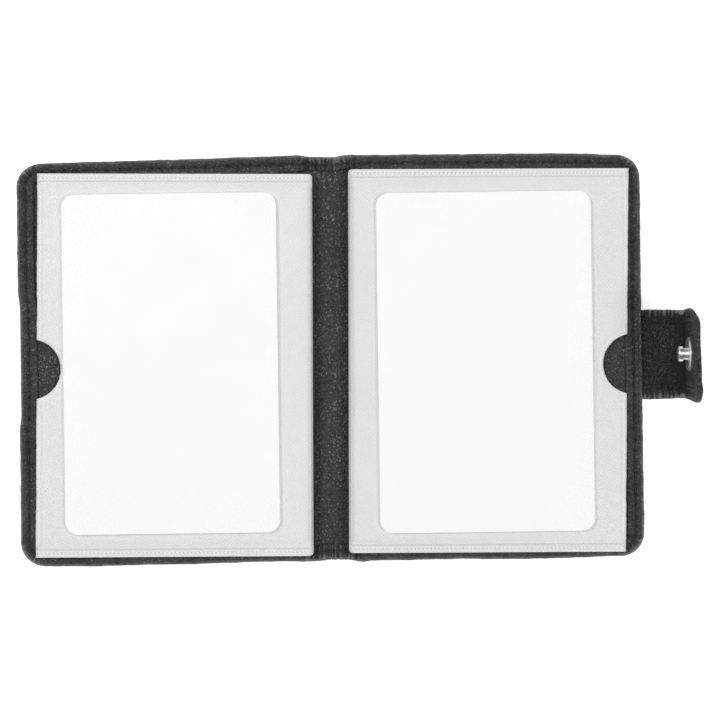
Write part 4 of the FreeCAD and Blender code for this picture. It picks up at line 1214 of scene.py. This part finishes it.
def filmMaterial(which, look):
    mat, tree, shader = newMaterial(f"{which} sleeve film")
    place = flatPlace(tree)
    weave = useGroup(tree, twill, (-500, 200), Vector=place, Pitch=look["pitch"], Lean=look["lean"])
    parts = addNode(tree, "ShaderNodeSeparateXYZ", (-800, -200))
    tree.links.new(place, parts.inputs[0])
    weld = useGroup(tree, weldMarks, (-500, -150), Along=parts.outputs["X"], Up=parts.outputs["Y"],
                    FromEdge=marked(tree, "fromEdge", (-800, -350)),
                    FromFold=marked(tree, "fromFold", (-800, -500)),
                    FromMouth=marked(tree, "fromMouth", (-800, -650)))
    hands = useGroup(tree, handling, (-500, -600), Vector=place, Size=26.0)
    cloud = colourMix(tree, (-100, 300), hands["Smudge"], grey(look["tint"]), grey(look["tint"] * 0.97))
    # painted shade along the embossed twill lines
    lines = sums(tree, "MULTIPLY", (-100, 0), weave["Height"], look["lines"])
    lined = colourMix(tree, (100, 300), lines, cloud, grey(look["tint"] * 0.6))
    creased = colourMix(tree, (300, 300), sums(tree, "MULTIPLY", (-100, -100), weld["Line"], 0.6), lined,
                        grey(look["tint"] * 0.7))
    # painted highlight on the bumps beside the welds
    lump = sums(tree, "MULTIPLY", (200, 100), weld["Lump"], 0.22)
    lumpy = colourMix(tree, (400, 300), lump, creased, grey(0.9))
    # painted shade over the film's curved fold at the spine side
    folded = sums(tree, "MULTIPLY", (100, -100), weld["Fold"], look["foldShade"])
    foldShaded = colourMix(tree, (500, 300), folded, lumpy, grey(look["tint"] * 0.5))
    # painted shade in the ribs of the fold and the ticks at the mouth
    tree.links.new(colourMix(tree, (650, 300), sums(tree, "MULTIPLY", (500, 100), weld["Rib"], 0.55), foldShaded,
                             grey(look["tint"] * 0.92)), shader.inputs["Base Color"])
    tree.links.new(sums(tree, "MULTIPLY_ADD", (300, -50), hands["Smudge"], 0.1, look["rough"]),
                   shader.inputs["Roughness"])
    edge = marked(tree, "edge", (-800, -800))
    lineAndLump = sums(tree, "ADD", (100, -300), weld["Line"], weld["Lump"])
    marksAll = sums(tree, "ADD", (200, -250), lineAndLump, weld["Rib"])
    thick = sums(tree, "MULTIPLY_ADD", (300, -200), edge, 0.04, look["alpha"])
    busy = sums(tree, "MULTIPLY_ADD", (400, -200), marksAll, 0.17, thick)
    tree.links.new(sums(tree, "MULTIPLY_ADD", (500, -200), weld["Fold"], 0.4, busy), shader.inputs["Alpha"])
    shader.inputs["Specular IOR Level"].default_value = 0.4
    fine = bump(tree, (400, -400), weave["Height"], 0.00007, 0.9)
    tree.links.new(bump(tree, (650, -400), weld["Height"], 0.0001, 0.8, fine), shader.inputs["Normal"])
    return mat


def backingMaterial(which, look):
    mat, tree, shader = newMaterial(f"{which} sleeve backing")
    place = flatPlace(tree)
    weave = useGroup(tree, twill, (-500, 400), Vector=place, Pitch=look["pitch"], Lean=look["lean"])
    pulp = useGroup(tree, fibre, (-500, 0), Vector=place, Scale=1.4)
    hands = useGroup(tree, handling, (-500, -300), Vector=place, Size=30.0)
    base = colourMix(tree, (0, 200), hands["Smudge"], grey(look["tint"]), grey(look["tint"] * 0.965))
    # painted shade along the embossed twill lines
    lines = sums(tree, "MULTIPLY", (0, 400), weave["Height"], look["lines"])
    twilled = colourMix(tree, (100, 300), lines, base, grey(look["tint"] * 0.6))
    plain = colourMix(tree, (200, 200), sums(tree, "MULTIPLY", (0, 0), pulp["Height"], 0.08), twilled,
                      grey(look["tint"] * 0.85))
    # painted shade along the cut rim and the mouth edge
    cutEdge = sums(tree, "MULTIPLY", (200, 0), marked(tree, "edge", (-800, -500)), 0.55)
    tree.links.new(colourMix(tree, (400, 200), cutEdge, plain, grey(look["tint"] * 0.35)),
                   shader.inputs["Base Color"])
    tree.links.new(sums(tree, "MULTIPLY_ADD", (200, -200), pulp["Tone"], 0.15, look["rough"]),
                   shader.inputs["Roughness"])
    tree.links.new(bump(tree, (400, -400), weave["Height"], 0.00008), shader.inputs["Normal"])
    return mat


backingLook = {"pitch": 0.44, "tint": 0.82, "rough": 0.5, "lines": 0.7}
filmLook = {"pitch": 0.44, "tint": 0.88, "rough": 0.4, "alpha": 0.09, "lines": 0.6, "foldShade": 0.45}
for which, me in sleeves.items():
    lean = {**filmLook, "lean": me["filmTwist"]}
    sleeveBacking = backingMaterial(which, {**backingLook, "lean": me["filmTwist"]})
    low, pocket = sleeveSize["low"], sleeveSize["pocket"]
    sheet = sleeveSheet(f"{which}_backing_sheet", which, sleeveSize["outer"] + me["lip"],
                        sleeveSize["notchRadius"], lambda x, y: low + sleeveSize["tapeGap"] + 0 * x,
                        lambda x, y: pocket - sleeveSize["backingGap"] + 0 * x, 70, sleeveBacking)
    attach(sheet, f"{which}_cover")
    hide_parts(f"{which}_sleeve_backing")
    under, over = filmHeights(which)
    filmEdge = sleeveSize["outer"] + me["lip"] - sleeveSize["filmShort"]
    film = sleeveSheet(f"{which}_film_sheet", which, filmEdge,
                       sleeveSize["notchRadius"] + sleeveSize["filmNotchGrow"], under, over, 80,
                       filmMaterial(which, lean))
    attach(film, f"{which}_cover")
    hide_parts(f"{which}_sleeve_film", f"{which}_sleeve_welds")
print("sleeves ready")


# finishes for the CAD pieces that stay

def cardMaterial(look):
    mat, tree, shader = newMaterial("card stock")
    place = solidPlace(tree)
    pulp = useGroup(tree, fibre, (-500, 0), Vector=place, Scale=look["grain"])
    hands = useGroup(tree, handling, (-500, -300), Vector=place, Size=22.0)
    base = colourMix(tree, (0, 200), remap(tree, (-200, 200), pulp["Height"], 0.35, 0.7),
                     grey(look["tint"]), grey(look["tint"] * 0.985))
    tree.links.new(colourMix(tree, (200, 200), sums(tree, "MULTIPLY", (0, 0), hands["Smudge"], 0.04), base,
                             grey(look["tint"] * 0.9)), shader.inputs["Base Color"])
    tree.links.new(sums(tree, "MULTIPLY_ADD", (200, -200), hands["Smudge"], 0.08, look["rough"]),
                   shader.inputs["Roughness"])
    tree.links.new(bump(tree, (400, -400), pulp["Height"], 0.00001), shader.inputs["Normal"])
    return mat


def metalMaterial(name, look):
    mat, tree, shader = newMaterial(name)
    place = solidPlace(tree)
    worn = useGroup(tree, metalWear, (-400, 0), Vector=place)
    base = colourMix(tree, (100, 200), worn["Haze"], look["bright"], look["dull"])
    tree.links.new(colourMix(tree, (300, 200), sums(tree, "MULTIPLY", (100, 0), worn["Scratch"], 0.35), base,
                             look["brass"]), shader.inputs["Base Color"])
    shader.inputs["Metallic"].default_value = 1.0
    rough = sums(tree, "MULTIPLY_ADD", (200, -150), worn["Haze"], 0.12, look["rough"])
    tree.links.new(sums(tree, "MULTIPLY_ADD", (400, -150), worn["Scratch"], 0.15, rough),
                   shader.inputs["Roughness"])
    tree.links.new(bump(tree, (400, -400), worn["Height"], 0.00001, 0.6), shader.inputs["Normal"])
    return mat


def tapeMaterial():
    mat, tree, shader = newMaterial("mounting tape")
    place = solidPlace(tree)
    pulp = useGroup(tree, fibre, (-500, 0), Vector=place, Scale=4.0)
    hands = useGroup(tree, handling, (-500, -300), Vector=place, Size=7.0)
    base = colourMix(tree, (0, 200), pulp["Height"], (0.62, 0.6, 0.52, 1), (0.78, 0.76, 0.68, 1))
    tree.links.new(colourMix(tree, (200, 200), hands["Speck"], base, grey(0.4)), shader.inputs["Base Color"])
    rough = sums(tree, "MULTIPLY_ADD", (200, -200), hands["Smudge"], 0.2, 0.6)
    tree.links.new(rough, shader.inputs["Roughness"])
    tree.links.new(bump(tree, (400, -400), pulp["Height"], 0.00005), shader.inputs["Normal"])
    return mat


cardStock = cardMaterial({"grain": 2.4, "tint": 0.855, "rough": 0.45})
snapMetal = metalMaterial("snap metal", {"bright": grey(0.86), "dull": (0.66, 0.66, 0.65, 1),
                                         "brass": (0.5, 0.47, 0.42, 1), "rough": 0.28})
springSteel = metalMaterial("spring steel", {"bright": grey(0.6), "dull": grey(0.45), "brass": grey(0.35),
                                             "rough": 0.26})
finishes = {
    "front_card": cardStock, "back_card": cardStock,
    "front_board": fibreBoard("stiffening board", (0.36, 0.33, 0.29), 1.8, False),
    "front_sleeve_tape": tapeMaterial(), "strap_tongue": tongueLeather,
    "snap_socket": snapMetal, "snap_eyelet": snapMetal, "snap_stud": snapMetal, "snap_cap": snapMetal,
    "snap_spring": springSteel,
}
finishes["back_board"] = finishes["front_board"]
finishes["back_sleeve_tape"] = finishes["front_sleeve_tape"]
for name, mat in finishes.items():
    slots = nodes[name].material_slots
    if not slots:
        nodes[name].data.materials.append(mat)
    for slot in nodes[name].material_slots:
        slot.material = mat
print("finishes on", len(finishes), "pieces")

# table, light and camera
studio = {
    "tableTone": 0.92, "tableGlow": 0.5, "tableHalf": 1600, "tableDrop": 0.05, "sky": 0.17,
    # name: place, size, power, all in metres and watts
    "lamps": {"left window": ((-0.55, 0.28, 0.62), 0.3, 4.3), "right window": ((0.58, -0.22, 0.66), 0.3, 3.8),
              "overhead": ((0.0, 0.1, 0.95), 0.4, 3.0)},
    "cameraX": 7.42, "cameraY": -0.43, "distance": 520.0, "cardHeight": 4.5, "viewWidth": 181.15,
    "roll": -0.77, "exposure": 0.0,
}


def buildTable(s):
    tone = s["tableTone"]
    mat, tree, shader = newMaterial("table")
    place = solidPlace(tree)
    pulp = useGroup(tree, fibre, (-500, 0), Vector=place, Scale=0.6)
    tree.links.new(colourMix(tree, (0, 200), pulp["Height"], grey(tone), grey(tone * 0.985)),
                   shader.inputs["Base Color"])
    shader.inputs["Roughness"].default_value = 0.9
    shader.inputs["Specular IOR Level"].default_value = 0.1
    shader.inputs["Emission Color"].default_value = (1, 1, 1, 1)
    shader.inputs["Emission Strength"].default_value = s["tableGlow"]
    half, z = s["tableHalf"], -s["tableDrop"]
    points = np.array([(-half, -half, z), (half, -half, z), (half, half, z), (-half, half, z)], float)
    table = makePiece("table", points, [(0, 1, 2, 3)], None, mat)


def buildLight(setting):
    world = bpy.data.worlds.new("studio")
    scene.world = world
    world.use_nodes = True
    world.node_tree.nodes["Background"].inputs["Color"].default_value = (1, 1, 1, 1)
    world.node_tree.nodes["Background"].inputs["Strength"].default_value = setting["sky"]
    for name, (place, size, power) in setting["lamps"].items():
        data = bpy.data.lights.new(name, "AREA")
        data.shape = "DISK"
        data.size = size
        data.energy = power
        lamp = bpy.data.objects.new(name, data)
        lamp.location = place
        lamp.rotation_euler = (-Vector(place)).to_track_quat("-Z", "Y").to_euler()
        scene.collection.objects.link(lamp)


def buildCamera(s):
    data = bpy.data.cameras.new("camera")
    data.sensor_width = 36
    data.lens = 36 * s["distance"] / s["viewWidth"]
    data.clip_start = 0.01
    data.clip_end = 10
    camera = bpy.data.objects.new("camera", data)
    camera.location = (s["cameraX"] * 0.001, s["cameraY"] * 0.001, (s["distance"] + s["cardHeight"]) * 0.001)
    camera.rotation_euler = (0, 0, math.radians(s["roll"]))
    scene.collection.objects.link(camera)
    scene.camera = camera


buildTable(studio)
buildLight(studio)
buildCamera(studio)
scene.view_settings.view_transform = "Standard"
scene.view_settings.look = "None"
scene.view_settings.exposure = studio["exposure"]
print("studio ready")
